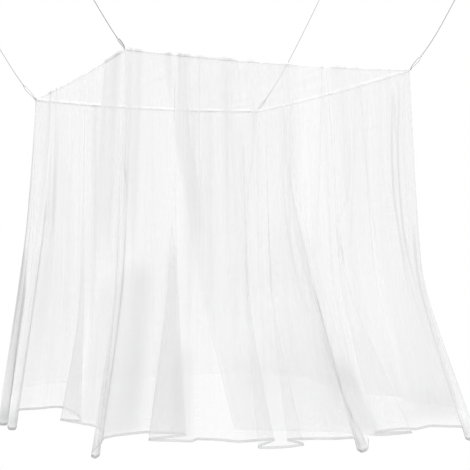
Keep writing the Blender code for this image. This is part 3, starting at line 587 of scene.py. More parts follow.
class Graph:
    """A material's nodes, added one by one and joined through their sockets."""

    USUAL_NOISE = (0.3, 0.7)
    SPECULAR = 0.25
    SHEEN_ROUGHNESS = 0.6

    def __init__(self, name: str) -> None:
        """Starts a material with nothing but its output and its main shader.

        Args:
            name: Its name.
        """
        self.material = bpy.data.materials.new(name)
        self.material.use_nodes = True
        self.tree = self.material.node_tree
        self.shader = self.tree.nodes["Principled BSDF"]

    def add(self, kind: str, **settings: object) -> bpy.types.Node:
        """Adds a node.

        Args:
            kind: The kind of node.
            settings: Its properties.

        Returns:
            The node.
        """
        node = self.tree.nodes.new(kind)
        for key, value in settings.items():
            setattr(node, key, value)
        return node

    def join(self, target: Socket, value: object) -> None:
        """Links a socket to an input, or writes a plain number or colour on it.

        Args:
            target: The input.
            value: A socket, a number or a colour.
        """
        if isinstance(value, bpy.types.NodeSocket):
            self.tree.links.new(value, target)
        elif isinstance(value, tuple):
            target.default_value = (*value, 1.0)
        else:
            target.default_value = value

    def dress(self, **looks: object) -> None:
        """Sets the main shader's inputs, each named in small letters with underscores.

        Args:
            looks: A socket, a number or a colour for each.
        """
        for key, value in looks.items():
            name = key.replace("_", " ").title().replace("Ior", "IOR")
            self.join(self.shader.inputs[name], value)

    def maths(self, operation: str, *inputs: object) -> Socket:
        """One arithmetic step.

        Args:
            operation: The kind of step.
            inputs: Sockets and numbers.

        Returns:
            Its result.
        """
        node = self.add("ShaderNodeMath", operation=operation)
        for socket, value in zip(node.inputs, inputs):
            self.join(socket, value)
        return node.outputs[0]

    def product(self, first: object, *others: object) -> Socket:
        """Several sockets and numbers multiplied together, two at a time from the left.

        Args:
            first: The first of them.
            others: The rest.

        Returns:
            The product.
        """
        for other in others:
            first = self.maths("MULTIPLY", first, other)
        return first

    def cloth_place(self) -> tuple[Socket, Socket]:
        """The place on the flat cloth, across and along it, in metres.

        Returns:
            The two distances.
        """
        parts = self.add("ShaderNodeSeparateXYZ")
        self.join(parts.inputs[0], self.add("ShaderNodeUVMap", uv_map="cloth").outputs[0])
        return parts.outputs[0], parts.outputs[1]

    def noise(self, vector: Socket, scale: float, detail: float) -> Socket:
        """Cloudy noise.

        Args:
            vector: The place to read it at.
            scale: How many spots it has in a metre.
            detail: How many times finer noise is laid over it.

        Returns:
            A number from 0 to 1.
        """
        node = self.add("ShaderNodeTexNoise")
        for key, value in (("Vector", vector), ("Scale", scale), ("Detail", detail)):
            self.join(node.inputs[key], value)
        return node.outputs["Fac"]

    def grain(self, place: tuple[Socket, Socket], grain: Grain, seed: float = 0.0) -> Socket:
        """Cloudy noise whose spots are a grain's wide by tall metres on the cloth.

        Args:
            place: The place on the cloth, across and along it.
            grain: The grain.
            seed: What sets this cloth's noise apart from another's.

        Returns:
            A number from 0 to 1.
        """
        node = self.add("ShaderNodeCombineXYZ")
        sizes = (grain.wide, grain.tall)
        for index in range(2):
            self.join(node.inputs[index], self.maths("DIVIDE", place[index], sizes[index]))
        node.inputs[2].default_value = seed + grain.seed
        return self.noise(node.outputs[0], 1.0, grain.detail)

    def span(self, value: Socket, to: Between = (0.0, 1.0), of: Between = USUAL_NOISE) -> Socket:
        """A number stretched evenly from one range to another, and held inside it.

        Args:
            value: The number.
            to: The range that it comes out in.
            of: The range that it goes in with.

        Returns:
            The stretched number.
        """
        node = self.add("ShaderNodeMapRange", clamp=True)
        keys = ("Value", "From Min", "From Max", "To Min", "To Max")
        for key, number in zip(keys, (value, *of, *to)):
            self.join(node.inputs[key], number)
        return node.outputs["Result"]

    def wave(self, place: Socket, pitch: float) -> Socket:
        """cos(2 pi place / pitch), one wave for each thread."""
        return self.maths("COSINE", self.maths("MULTIPLY", place, TURN / pitch))

    def blend(self, share: Socket, first: Socket | Colour, second: Socket | Colour) -> Socket:
        """A colour between two.

        Args:
            share: 0 for the first, 1 for the second.
            first: One colour.
            second: The other colour.

        Returns:
            The mixed colour.
        """
        node = self.add("ShaderNodeMix", data_type="RGBA")
        for index, value in ((0, share), (6, first), (7, second)):
            self.join(node.inputs[index], value)
        return node.outputs[2]

    def finish(self, height: Socket, relief: Between, sheen: float) -> Material:
        """Ends a cloth's material: what is the same all over it, and its relief.

        Args:
            height: The pattern that shades it as bumps.
            relief: How strong the bumps are, and how high.
            sheen: The strength of its soft shine.

        Returns:
            The material.
        """
        bump = self.add("ShaderNodeBump")
        for key, value in (("Strength", relief[0]), ("Distance", relief[1]), ("Height", height)):
            self.join(bump.inputs[key], value)
        self.dress(
            normal=bump.outputs[0],
            metallic=0.0,
            specular_ior_level=self.SPECULAR,
            sheen_weight=sheen,
            sheen_roughness=self.SHEEN_ROUGHNESS,
        )
        return self.material


@dataclass(frozen=True)
class NetFinish:
    """Sheer woven net. One layer hides cover of what is behind it, and layers add up.

    Where many layers lie together, they shade each other, and the net greys towards shaded.
    """

    name: str
    seed: float
    light: Colour = (0.74, 0.74, 0.74)
    dark: Colour = (0.68, 0.68, 0.685)
    shaded: Colour = (0.43, 0.43, 0.435)
    shaded_layers: Between = (1.8, 9.0)
    cover: float = 0.17
    thread_pitch: float = 0.0018
    thread_contrast: float = 0.22
    fine: Grain = Grain(0.022, 1.1, (0.965, 1.035))
    broad: Grain = Grain(0.11, 1.8, (0.86, 1.16), seed=5.0)
    slubs: Grain = Grain(0.25, 0.004, (0.95, 1.05), seed=9.0, detail=1.0)
    tone: Grain = Grain(0.09, 0.9, seed=2.0, detail=1.0)
    roughness: Between = (0.78, 0.95)
    relief: Between = (0.15, 0.0002)
    sheen: float = 0.15

    def material(self) -> Material:
        """Builds the finish.

        Opacity is 1 - exp(-k * layers * weave * streaks), with k = -ln(1 - cover). The
        weave is 1 + a (cos u + cos v), and the streaks are noise drawn out down the cloth.

        Returns:
            The material.
        """
        graph = Graph(self.name)
        place = graph.cloth_place()
        source = {"attribute_type": "GEOMETRY", "attribute_name": "layers"}
        layers = graph.add("ShaderNodeAttribute", **source).outputs["Fac"]
        threads = graph.maths("ADD", *(graph.wave(way, self.thread_pitch) for way in place))
        weave = graph.maths("MULTIPLY_ADD", threads, self.thread_contrast, 1.0)
        fine, broad, slubs = (
            graph.span(graph.grain(place, grain, self.seed), grain.between)
            for grain in (self.fine, self.broad, self.slubs)
        )
        pattern = graph.product(graph.product(fine, broad), graph.product(weave, slubs))
        amount = graph.product(layers, pattern, math.log(1 - self.cover))
        tone = graph.grain(place, self.tone, self.seed)
        unshaded = graph.blend(tone, self.dark, self.light)
        # Painted shade: the base colour greys towards shaded where many layers lie together
        graph.dress(
            alpha=graph.maths("SUBTRACT", 1.0, graph.maths("EXPONENT", amount)),
            base_color=graph.blend(graph.span(layers, of=self.shaded_layers), unshaded, self.shaded),
            roughness=graph.span(tone, self.roughness),
        )
        return graph.finish(weave, self.relief, self.sheen)


@dataclass(frozen=True)
class TapeFinish:
    """Narrow twilled tape, with ribs across it, and a painted glow that lifts its white."""

    name: str = "ribbed_tape"
    light: Colour = (0.97, 0.97, 0.97)
    dark: Colour = (0.90, 0.90, 0.90)
    # Painted glow: a white emission that makes the tape brighter than the light falling on it
    painted_glow: float = 0.12
    rib_pitch: float = 0.0012
    twill_lean: float = 0.6
    twill_pitch: float = 0.0012 * 1.7
    weave_contrast: float = 0.25
    weave_share: float = 0.45
    tone_share: float = 0.75
    tone: Grain = Grain(0.004, 0.03, seed=1.0, detail=3.0)
    roughness: Between = (0.7, 0.9)
    relief: Between = (0.5, 0.0003)
    sheen: float = 0.3

    def material(self) -> Material:
        """Builds the finish: ribs cos(2 pi u / pitch) along the tape, and a leaning twill.

        Returns:
            The material.
        """
        graph = Graph(self.name)
        across, along = graph.cloth_place()
        ribs = graph.wave(along, self.rib_pitch)
        leaning = graph.maths("ADD", across, graph.product(along, self.twill_lean))
        twill = graph.wave(leaning, self.twill_pitch)
        both = graph.maths("ADD", ribs, twill)
        weave = graph.maths("MULTIPLY_ADD", both, self.weave_contrast, 0.5)
        tone = graph.grain((across, along), self.tone)
        cloudy = graph.product(tone, self.tone_share)
        shade = graph.maths("MULTIPLY_ADD", weave, self.weave_share, cloudy)
        graph.dress(
            base_color=graph.blend(shade, self.dark, self.light),
            roughness=graph.span(tone, self.roughness),
            # Painted glow: the tape gives off white light of its own, though it is no lamp
            emission_color=WHITE,
            emission_strength=self.painted_glow,
        )
        return graph.finish(weave, self.relief, self.sheen)


@dataclass(frozen=True)
class CordFinish:
    """Laid cotton cord or sewing thread: fine fibres that follow its strands."""

    name: str = "laid_cord"
    light: Colour = (0.40, 0.40, 0.40)
    dark: Colour = (0.22, 0.22, 0.22)
    fibre: float = 0.0005
    fibre_detail: float = 3.0
    fibre_share: float = 0.6
    patches: float = 60.0
    patch_detail: float = 2.0
    roughness: Between = (0.7, 0.95)
    relief: Between = (0.35, 0.0003)
    sheen: float = 0.35

    def material(self) -> Material:
        """Builds the finish from fine noise in the object's own coordinates.

        Returns:
            The material.
        """
        graph = Graph(self.name)
        place = graph.add("ShaderNodeTexCoord").outputs["Object"]
        fuzz = graph.noise(place, 1 / self.fibre, self.fibre_detail)
        patches = graph.noise(place, self.patches, self.patch_detail)
        rest = graph.product(patches, 1 - self.fibre_share)
        shade = graph.maths("MULTIPLY_ADD", fuzz, self.fibre_share, rest)
        graph.dress(
            base_color=graph.blend(shade, self.dark, self.light),
            roughness=graph.span(fuzz, self.roughness),
        )
        return graph.finish(fuzz, self.relief, self.sheen)


def dress(thing: Thing, material: Material, slot: str, *nodes: str) -> Thing:
    """Gives a finished piece its material and its body, and reports it.

    Args:
        thing: The piece.
        material: Its finish.
        slot: The record's material slot that it takes its finish from; not used.
        nodes: The plain solids that it stands for.

    Returns:
        The piece.
    """
    thing.data.materials.append(material)
    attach(thing, "root")
    if nodes:
        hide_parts(*nodes)
    LOG.info("%s: %d vertices", thing.name, len(thing.data.vertices))
    return thing


def carried(profile: Array, path: Array, side: Array, up: Array) -> Array:
    """A profile carried along a path: point = path + side * x + up * y.

    Args:
        profile: (x, y) points of the profile, the same at each step or one set a step.
        path: The path's points.
        side: The direction of the profile's x at each step, or at all of them.
        up: The direction of its y at each step, or at all of them.

    Returns:
        A grid of points, one row for each step of the path.
    """
    side, up = np.broadcast_to(side, path.shape), np.broadcast_to(up, path.shape)
    profile = np.broadcast_to(profile, (len(path), *profile.shape[-2:]))
    return path[:, None] + side[:, None] * profile[..., :1] + up[:, None] * profile[..., 1:]


def strip_profile(half: tuple[float, float], corner: tuple[float, float], sides: int = 16) -> Array:
    """The section of a flat strip with rounded edges, a rectangle plus an oval.

    At a turn t it is x = sign(cos t) (half x - corner x) + corner x cos t, and y likewise
    with sines.

    Args:
        half: Half its size in x and in y.
        corner: The size of its rounding in x and in y.
        sides: How many points it has.

    Returns:
        Its (x, y) points.
    """
    turn = np.linspace(0, TURN, sides, endpoint=False) + TURN / sides / 2
    waves = np.stack([np.cos(turn), np.sin(turn)], axis=1)
    return np.sign(waves) * (np.array(half) - np.array(corner)) + waves * np.array(corner)


def cloth_places(across: Array, down: Array) -> Array:
    """The places of a grid on the flat cloth, from those of its columns and of its rows."""
    return np.stack(np.broadcast_arrays(across[None, :], down[:, None]), axis=-1)


@dataclass
class Stitching:
    """A run of sewing stitches, each a small lens of thread."""

    pitch: float = 0.005
    length: float = 0.0034
    width: float = 0.0007
    height: float = 0.0005
    underside: float = 0.2

    def along(self, line: Array, normal: Array) -> tuple[Array, Faces]:
        """Stitches at even steps along a line that lies on cloth.

        A stitch is six points: its two ends, its two sides, its crown and its underside.

        Args:
            line: The points of the line.
            normal: The cloth's outward direction at each.

        Returns:
            The stitches' points and their three-sided faces.
        """
        run = travelled(line)
        middles = np.arange(self.pitch / 2, run[-1], self.pitch)
        centre = read_along(middles, run, line)
        ahead = read_along(middles + self.pitch / 4, run, line)
        rise = unit(read_along(middles, run, normal))
        forward = unit(ahead - centre + LEAST_WAY)
        ends = forward * self.length / 2
        sides = unit(np.cross(rise, forward)) * self.width / 2
        crown = rise * self.height
        shape = [-ends, ends, -sides, sides, crown, -crown * self.underside]
        points = (centre[:, None] + np.stack(shape, axis=1)).reshape(-1, 3)
        over = [[0, 2, 4], [2, 1, 4], [1, 3, 4], [3, 0, 4]]
        under = [[2, 0, 5], [1, 2, 5], [3, 1, 5], [0, 3, 5]]
        firsts = len(shape) * np.arange(len(middles))[:, None, None]
        return points, (np.array(over + under)[None] + firsts).reshape(-1, 3)

    def piece(self, name: str, runs: list[Run]) -> Thing:
        """Joins several runs of stitches into one piece.

        Args:
            name: The piece's name.
            runs: A line and its normals for each run.

        Returns:
            The piece.
        """
        points, faces, count = [], [], 0
        for line, normal in runs:
            more, lens = self.along(line, normal)
            points.append(more)
            faces.append(lens + count)
            count += len(more)
        return add_mesh(name, np.concatenate(points), [np.concatenate(faces)])


@dataclass(frozen=True)
class GatherHabit:
    """What the small random gathers of a panel vary between, in fold lines, metres and shares.

    Each third one is fine, the others are broad. A pair of numbers for a width is its least
    and the scale of what is added to it, and for the layers of the broad ones their mean and
    spread. Each has one of the first few profiles.
    """

    fine_every: int = 3
    lean: float = 0.10
    share_from_tape: float = 0.7
    latest_start: float = 0.3
    least_reach: float = 0.25
    reach_shape: float = 2.2
    reach_scale: float = 0.22
    lowest_end: float = 1.05
    shape: float = 2.0
    fine_width: tuple[float, float] = (0.007, 0.0015)
    broad_width: tuple[float, float] = (0.014, 0.010)
    fine_layers: float = 0.08
    broad_layers: tuple[float, float] = (0.03, 0.11)
    widening: float = 1.3
    ridge: Between = (0.015, 0.05)
    profiles: int = 3

    def streak(self, rng: np.random.Generator, fine: bool, place: float, last: float) -> Streak:
        """One random gather.

        Args:
            rng: The source of its random numbers.
            fine: True for a fine one.
            place: Where it starts, counted in fold lines.
            last: The panel's last fold line.

        Returns:
            The gather.
        """
        lean = rng.normal(0, self.lean)
        from_tape = rng.uniform() < self.share_from_tape
        high = 0.0 if from_tape else rng.uniform(0.0, self.latest_start)
        reached = high + self.least_reach + rng.gamma(self.reach_shape, self.reach_scale)
        low = min(self.lowest_end, reached)
        least, scale = self.fine_width if fine else self.broad_width
        width = least + rng.gamma(self.shape, scale)
        layers = rng.gamma(self.shape, self.fine_layers) if fine else rng.normal(*self.broad_layers)
        end = float(np.clip(place + lean, 0, last))
        profile = list(Profile)[int(rng.integers(0, self.profiles))]
        route = ((high, place, width), (low, end, width * self.widening))
        return Streak("gather", route, layers, rng.uniform(*self.ridge) * width, profile)


@dataclass(frozen=True)
class Hem:
    """The hem along a wall's foot, turned up inside, and how dense it looks.

    shares holds (place, share) pairs, places counted in fold lines: the part of its layers
    that the hem has there, less where the wall is seen edge on. Just above it the net is
    thinner by gap. Where streaks have added more than crowded_from, the hem is denser too.
    The turned-up layer lies inside by inside, and has under_share of the layers.
    """

    shares: tuple[tuple[float, float], ...] = ((0.0, 1.0), (30.0, 1.0))
    depth: float = 0.014
    layers: float = 4.2
    gap: float = 0.3
    gap_reach: Between = (0.014, 0.003)
    crowded: float = 0.8
    crowded_from: float = 1.3
    crowded_most: float = 3.0
    inside: float = 0.0014
    under_share: float = 0.8
    stitches_up: float = 0.86
    stitches_off: float = 0.0004


@dataclass(frozen=True)
class Heading:
    """The top of a wall, sewn to the outside of the tape.

    off is how far outside the roof's edge it lies, below_edge the share of the tape's depth
    at which it starts, and past_tape how far it goes past the tape. seam_extra is how much
    denser its seam is, and top_fullness the cloth's length there for a length of edge.
    """

    off: float = 0.0016
    below_edge: float = 0.0005
    past_tape: float = 0.0008
    seam_extra: float = 0.5
    seam_reach: Between = (0.002, 0.006)
    top_fullness: float = 1.35


@dataclass
class Wall:
    """One wall panel of net, gathered into the tape, with a hem turned up along its foot."""

    name: str
    side: Side
    folds: tuple[Fold, ...]
    streaks: tuple[Streak, ...]
    set_off: float
    columns: int
    gathers: int
    seed: int
    skirt: float
    heading: Heading = Heading()
    hem: Hem = Hem()
    outer_face: float = 1.0
    free_edge: int | None = None
    side_hem: float = 0.010
    side_hem_extra: float = 0.6
    side_hem_fade: Between = (0.7, 1.3)
    rows: int = 92
    habit: GatherHabit = GatherHabit()
    upper_rows: tuple[float, ...] = (0.0, 0.004, 0.009, 0.016)
    body_from: float = 0.026
    body_to: float = 0.012
    hem_edge: float = 0.0007
    fine_steps: int = 64
    fade_in: Between = (0.03, 0.05)
    fade_out: float = 0.35
    seam_reach: float = 0.03
    bend_reach: float = 0.03
    ridge_from_tape: float = 0.02
    skirt_between: Between = (0.70, 0.92)
    fullness: float = 1.6
    most_gathered: float = 2.1
    thinnest: float = 0.15
    table: dict[str, Array] = field(init=False)
    gaps: Array = field(init=False)
    depth: Array = field(init=False)
    fine_places: Array = field(init=False)
    fine_top: Array = field(init=False)
    fine_foot: Array = field(init=False)
    places: Array = field(init=False)
    cloth: Array = field(init=False)
    added: Array = field(init=False)
    normal: Array = field(init=False)
    layers: Array = field(init=False)
    points: Array = field(init=False)
    flat: tuple[float, float, float] = field(init=False)

    def __post_init__(self) -> None:
        """Works the panel out: its main folds, then its gathers, on one grid."""
        table = np.array([fold[1:] for fold in self.folds], dtype=float)
        self.table = {key: table[:, i] for i, key in enumerate(Fold._fields[1:])}
        plan = np.stack([self.table["foot"], self.table["out"]], axis=1)
        self.gaps = np.sqrt(np.linalg.norm(np.diff(plan, axis=0), axis=1))
        self.depth = self._row_shares()
        self.places = self._column_places()
        self.cloth = np.interp(self.places, self.fine_places, self.fine_foot)
        self._gather(self._surface())

    def _row_shares(self) -> Array:
        """Shares of the height at each row, with close rows at the tape and at the hem.

        Returns:
            The shares, from 0 to 1.
        """
        hem = 1 - self.hem.depth / HEIGHT
        body = np.linspace(self.body_from, hem - self.body_to, self.rows)
        foot = [hem - self.hem_edge, hem, (1 + hem) / 2, 1.0]
        return np.concatenate([self.upper_rows, body, foot])

    def _columns_at(self, places: Array) -> dict[str, Array]:
        """The fold table read between its rows: feet on smooth curves, the rest straight.

        Args:
            places: Where to read it, counted in fold lines.

        Returns:
            A number for each place, in each column of the table.
        """
        values = np.stack(list(self.table.values()), axis=1)
        smooth = curve_through(values, self.gaps, places)
        line = {key: smooth[:, i] for i, key in enumerate(self.table)}
        steps = np.arange(len(values))
        for key in ("top", "lift", "stand", "bend", "early"):
            line[key] = np.interp(places, steps, self.table[key])
        return line

    def _column_places(self) -> Array:
        """Places of the columns, counted in fold lines, so that they lie evenly on the cloth.

        Returns:
            The places.
        """
        last = len(self.folds) - 1
        self.fine_places = np.linspace(0, last, self.fine_steps * last + 1)
        line = self._columns_at(self.fine_places)
        self.fine_foot = travelled(np.stack([line["foot"], line["out"]], axis=1))
        self.fine_top = travelled(line["top"][:, None])
        reach = (self.fine_foot + self.fine_top) / 2
        return np.interp(np.linspace(0, reach[-1], self.columns), reach, self.fine_places)

    def _surface(self) -> Array:
        """The panel's main shape.

        A fold line goes from its top place to its foot. At a share d of the height it has
        moved along and outward by spread_share(d), and its height falls evenly with d.

        Returns:
            Its grid of points.
        """
        line = self._columns_at(self.places)
        down = self.depth[:, None]
        share = spread_share(down, line["bend"], line["early"])
        along = line["top"] + (line["foot"] - line["top"]) * share
        stand = line["stand"] * np.clip(down / STAND_REACHED, 0, 1)
        outward = line["out"] * share + stand + self.set_off
        edge = self.side.value
        top = -TAPE_DEPTH - GAP - edge.drop(line["top"])
        height = top + (-HEIGHT + line["lift"] - top) * down
        return edge.point(along, outward, height)

    def _random_gathers(self) -> list[Streak]:
        """Gathers that start at the tape or below it and fade on their way down.

        Returns:
            The gathers, spread evenly along the roof's edge.
        """
        rng = np.random.default_rng(self.seed)
        made = []
        for index in range(self.gathers):
            top = rng.uniform(0, self.fine_top[-1])
            place = float(np.interp(top, self.fine_top, self.fine_places))
            fine = index % self.habit.fine_every == 0
            made.append(self.habit.streak(rng, fine, place, len(self.folds) - 1))
        return made

    def _strength(self, streak: Streak, arcs: Array, speed: Array) -> Array:
        """How strong a streak is at each point.

        At a distance x across the cloth from its middle a streak of width w has the strength
        e = exp(-(s |x| / w)^p), where s is the steepness of that side and p its power. It
        fades in below its upper end and out above its lower end.

        Args:
            streak: The streak.
            arcs: How far across the cloth each point lies.
            speed: The distance from each point to the next across.

        Returns:
            The strengths, from 0 to 1.
        """
        down = self.depth
        columns, rows = np.arange(arcs.shape[1]), np.arange(len(down))
        depths, places, widths = np.array(streak.route).T
        step = np.interp(down, depths, np.arange(len(depths)))
        place = curve_through(places[:, None], np.diff(depths), step)[:, 0]
        column = np.clip(np.interp(place, self.places, columns), 0, len(columns) - BEFORE_END)
        left = column.astype(int)
        middle = arcs[rows, left] + (column - left) * speed[rows, left]
        x = (arcs - middle[:, None]) / np.interp(down, depths, widths)[:, None]
        first, second, power = streak.profile.value
        x = np.abs(np.where(x < 0, first * x, second * x))
        high, low = depths[0], depths[-1]
        shown = np.ones_like(down)
        if high > 0:
            shown = smooth_step(high - self.fade_in[0], high + self.fade_in[1], down)
        if low < 1:
            shown = shown * (1 - smooth_step(low - self.fade_out * (low - high), low, down))
        return np.exp(-(x**power)) * shown[:, None]

    def _gather(self, base: Array) -> None:
        """Adds the streaks to the main shape, and counts the layers of net at each point.

        A streak of strength e adds layers * e to the cloth that lies there and lifts it by
        ridge * e. The cloth that lies there is how much closer the threads stand than at the
        spread hem.

        Args:
            base: The main shape.
        """
        down = self.depth
        tangent = np.gradient(base[..., :2], axis=1)
        speed = np.maximum(np.linalg.norm(tangent, axis=-1), LEAST_STEP)
        arcs = np.cumsum(speed, axis=1)
        self.added = np.zeros(speed.shape)
        ridge = np.zeros(speed.shape)
        for streak in [*self.streaks, *self._random_gathers()]:
            strength = self._strength(streak, arcs, speed)
            self.added += streak.layers * strength
            ridge += streak.ridge * strength
        normal = np.stack([tangent[..., 1], -tangent[..., 0]], axis=-1)
        outward = np.array(self.side.value.outward, dtype=float)
        turned = np.sign((normal[0].sum(axis=0) * outward).sum())
        self.normal = unit(np.concatenate([normal * turned, np.zeros((*speed.shape, 1))], axis=-1))
        bent = np.linalg.norm(np.gradient(self.normal, axis=1), axis=-1)
        bent = bent / np.maximum(speed, LEAST_BENT_STEP)
        span, reach = arcs[:, -1:], self.seam_reach
        held = smooth_step(0.0, reach, arcs) * (1 - smooth_step(span - reach, span, arcs))
        started = np.clip(down / self.ridge_from_tape, 0, 1)[:, None]
        ridge = ridge * held / (1 + (bent * self.bend_reach) ** 2) * started
        foot = np.gradient(self.cloth)
        gathered = np.clip(self.fullness * foot[None, :] / speed, self.fullness, self.most_gathered)
        gathered = gathered * (1 + self.skirt * smooth_step(*self.skirt_between, down))[:, None]
        slope = np.clip(np.gradient(ridge, axis=1) / speed, -1, 1)
        self.layers = gathered * np.maximum(1 + self.added, self.thinnest) * np.sqrt(1 + slope**2)
        self.points = base + self.normal * (ridge * self.outer_face)[..., None]

    def seam(self, last: bool) -> Array:
        """The panel's first or last upright edge."""
        return self.points[:, -1 if last else 0]

    def move_seam(self, last: bool, line: Array, reach: float = 0.05) -> None:
        """Moves one upright edge onto a line, and the cloth beside it less and less.

        Args:
            last: True for the last edge.
            line: Where the edge goes.
            reach: How far across the cloth moves with it.
        """
        shift = line - self.seam(last)
        run = self.cloth[-1] - self.cloth if last else self.cloth
        share = 1 - smooth_step(0.0, reach, run)
        self.points = self.points + shift[:, None] * share[None, :, None]

    def _heading_rows(self) -> list[Array]:
        """Three rows of points down the outside of the tape, above the wall's first row.

        Returns:
            The rows.
        """
        edge, heading = self.side.value, self.heading
        top = self._columns_at(self.places)["top"]
        level = -edge.drop(top)
        off = np.full_like(top, heading.off)
        rows = ((heading.below_edge, 0.0), (0.5, 0.0), (1.0, heading.past_tape))
        return [edge.point(top, off, level - TAPE_DEPTH * part - past) for part, past in rows]

    def _hem_rows(self) -> list[Array]:
        """Three rows of points from the foot back up the inside, a little apart from it.

        Returns:
            The rows.
        """
        foot, hem = self.points[-1], self.hem
        upward = unit(self.points[-2] - foot) * hem.depth
        inward = -self.normal[-1] * hem.inside
        return [foot + inward / 2, *(foot + inward + upward * part for part in (0.5, 1.0))]

    def build(self, material: Material) -> Thing:
        """Makes the panel: the heading over the tape, the wall and the turned-up hem.

        Args:
            material: The net's finish.

        Returns:
            The panel.
        """
        layers = self._dressed_layers()
        above, under = self._heading_rows(), self._hem_rows()
        points = np.concatenate([np.stack(above), self.points, np.stack(under)])
        layers = np.concatenate(
            [
                np.repeat(self.layers[:1], len(above), axis=0),
                layers,
                np.repeat(layers[-1:] * self.hem.under_share, len(under), axis=0),
            ]
        )
        down = travelled(points[:, points.shape[1] // 2])
        faces = [grid_faces(*points.shape[:2])]
        cloth = cloth_places(self.cloth, down)
        thing = add_mesh(f"{self.name}_cloth", points, faces, cloth, layers)
        hem, high = float(self.cloth[-1]), float(down[-1])
        top = self.folds[-1].top - self.folds[0].top
        cut = (hem + self.heading.top_fullness * top) / 2 * high
        self.flat = (hem, high, min(cut, hem * high))
        return dress(thing, material, "net", self.name)

    def _dressed_layers(self) -> Array:
        """The layers with the seam under the tape, the hem and the side hem of a free edge.

        Returns:
            A number for each point of the wall.
        """
        hem, heading = self.hem, self.heading
        start = 1 - hem.depth / HEIGHT
        sewn = 1 - smooth_step(*heading.seam_reach, self.depth[:, None])
        far, near = hem.gap_reach
        thin = 1 - hem.gap * smooth_step(start - far, start - near, self.depth)
        places, shares = np.array(hem.shares).T
        turned = hem.layers * np.interp(self.places, places, shares)[None, :]
        crowd = np.clip(self.added[-1:] - hem.crowded_from, 0, hem.crowded_most)
        turned = turned * (1 + hem.crowded * crowd)
        plain = self.layers * (1 + heading.seam_extra * sewn) * thin[:, None]
        layers = np.where(self.depth[:, None] >= start, turned, plain)
        if self.free_edge is not None:
            run = self.cloth if self.free_edge == 0 else self.cloth[-1] - self.cloth
            inner, outer = (part * self.side_hem for part in self.side_hem_fade)
            inside = 1 - smooth_step(inner, outer, run)
            layers = layers * (1 + self.side_hem_extra * inside)
        return layers

    def hem_line(self) -> Run:
        """The line of stitches along the upper part of the hem, and its normals.

        Returns:
            Both, one row for each column.
        """
        foot = self.points[-1]
        upward = unit(self.points[-2] - foot)
        line = foot + upward * self.hem.depth * self.hem.stitches_up
        return line + self.normal[-1] * self.hem.stitches_off, self.normal[-1]


@dataclass
class Roof:
    """The roof panel of net, which sags between its four taped edges."""

    steps: int = 110
    extra_sag: float = 0.012
    closer_edges: float = 0.5
    allowance: float = 0.005
    seam_layers: float = 1.6
    puckers: int = 24
    pucker_height: float = 0.0022
    pucker_waves: Between = (20, 90)
    pucker_reach: float = 0.05
    pucker_rise: float = 0.02
    pucker_end: float = 0.3
    pucker_crowd: float = 6.0
    seed: int = 11

    def _puckers(self, x: Array, y: Array, inset: float) -> Array:
        """Small waves that run in from the edges and die away as exp(-distance / reach).

        Args:
            x: The columns' places.
            y: The rows' places.
            inset: How far the panel's edge lies inside the roof's outline.

        Returns:
            Their heights.
        """
        rng = np.random.default_rng(self.seed)
        near_x, near_y = HALF_X - inset - np.abs(x), HALF_Y - inset - np.abs(y)
        ripple = np.zeros((y.size, x.size))
        for _ in range(self.puckers):
            waves = rng.uniform(*self.pucker_waves)
            for way, gap in ((y, near_x), (x, near_y)):
                wave = np.sin(waves * way + rng.uniform(0, TURN)) * np.exp(-gap / self.pucker_reach)
                ripple += wave * gap / self.pucker_rise * (gap < self.pucker_end)
        return self.pucker_height * np.clip(ripple / self.pucker_crowd, -1, 1)

    def build(self, material: Material) -> Thing:
        """Makes the roof.

        With a = 1 - (x / half width)^2 and b = 1 - (y / half length)^2, the sag is
        a * (the near and far edges' sag) + b * (the left and right edges' sag) + extra * a * b.

        Args:
            material: The net's finish.

        Returns:
            The roof.
        """
        inset = TAPE_THICKNESS / 2 + GAP
        ease = np.linspace(-1, 1, self.steps + 1)
        ease = np.sin(ease * math.pi / 2) * self.closer_edges + ease * (1 - self.closer_edges)
        x = (ease * (HALF_X - inset))[None, :]
        y = (ease * (HALF_Y - inset))[:, None]
        across, lengthways = 1 - (x / HALF_X) ** 2, 1 - (y / HALF_Y) ** 2
        nearness, rightness = (1 - y / HALF_Y) / 2, (1 + x / HALF_X) / 2
        near, far, left, right = (side.value.sag for side in Side)
        sag = across * (near * nearness + far * (1 - nearness))
        sag = sag + lengthways * (right * rightness + left * (1 - rightness))
        sag = sag + self.extra_sag * across * lengthways
        height = -TAPE_DEPTH / 2 - sag + self._puckers(x, y, inset)
        points = np.stack([x + 0 * y, y + 0 * x, height], axis=-1)
        points = np.pad(points, ((1, 1), (1, 1), (0, 0)), mode="edge")
        points[[0, -1], :, 2] -= self.allowance
        points[1:-1, [0, -1], 2] -= self.allowance
        layers = np.ones(points.shape[:2])
        layers[[0, 1, -2, -1], :] = self.seam_layers
        layers[:, [0, 1, -2, -1]] = self.seam_layers
        cloth = points[..., :2] + np.array([HALF_X, HALF_Y])
        cloth[[0, -1], :, 1] += np.array([[-self.allowance], [self.allowance]])
        cloth[:, [0, -1], 0] += np.array([-self.allowance, self.allowance])
        faces = grid_faces(*points.shape[:2])[:, ::-1]
        thing = add_mesh("roof_panel_cloth", points, [faces], cloth, layers)
        dress(thing, material, "net", "roof_panel")
        return thing


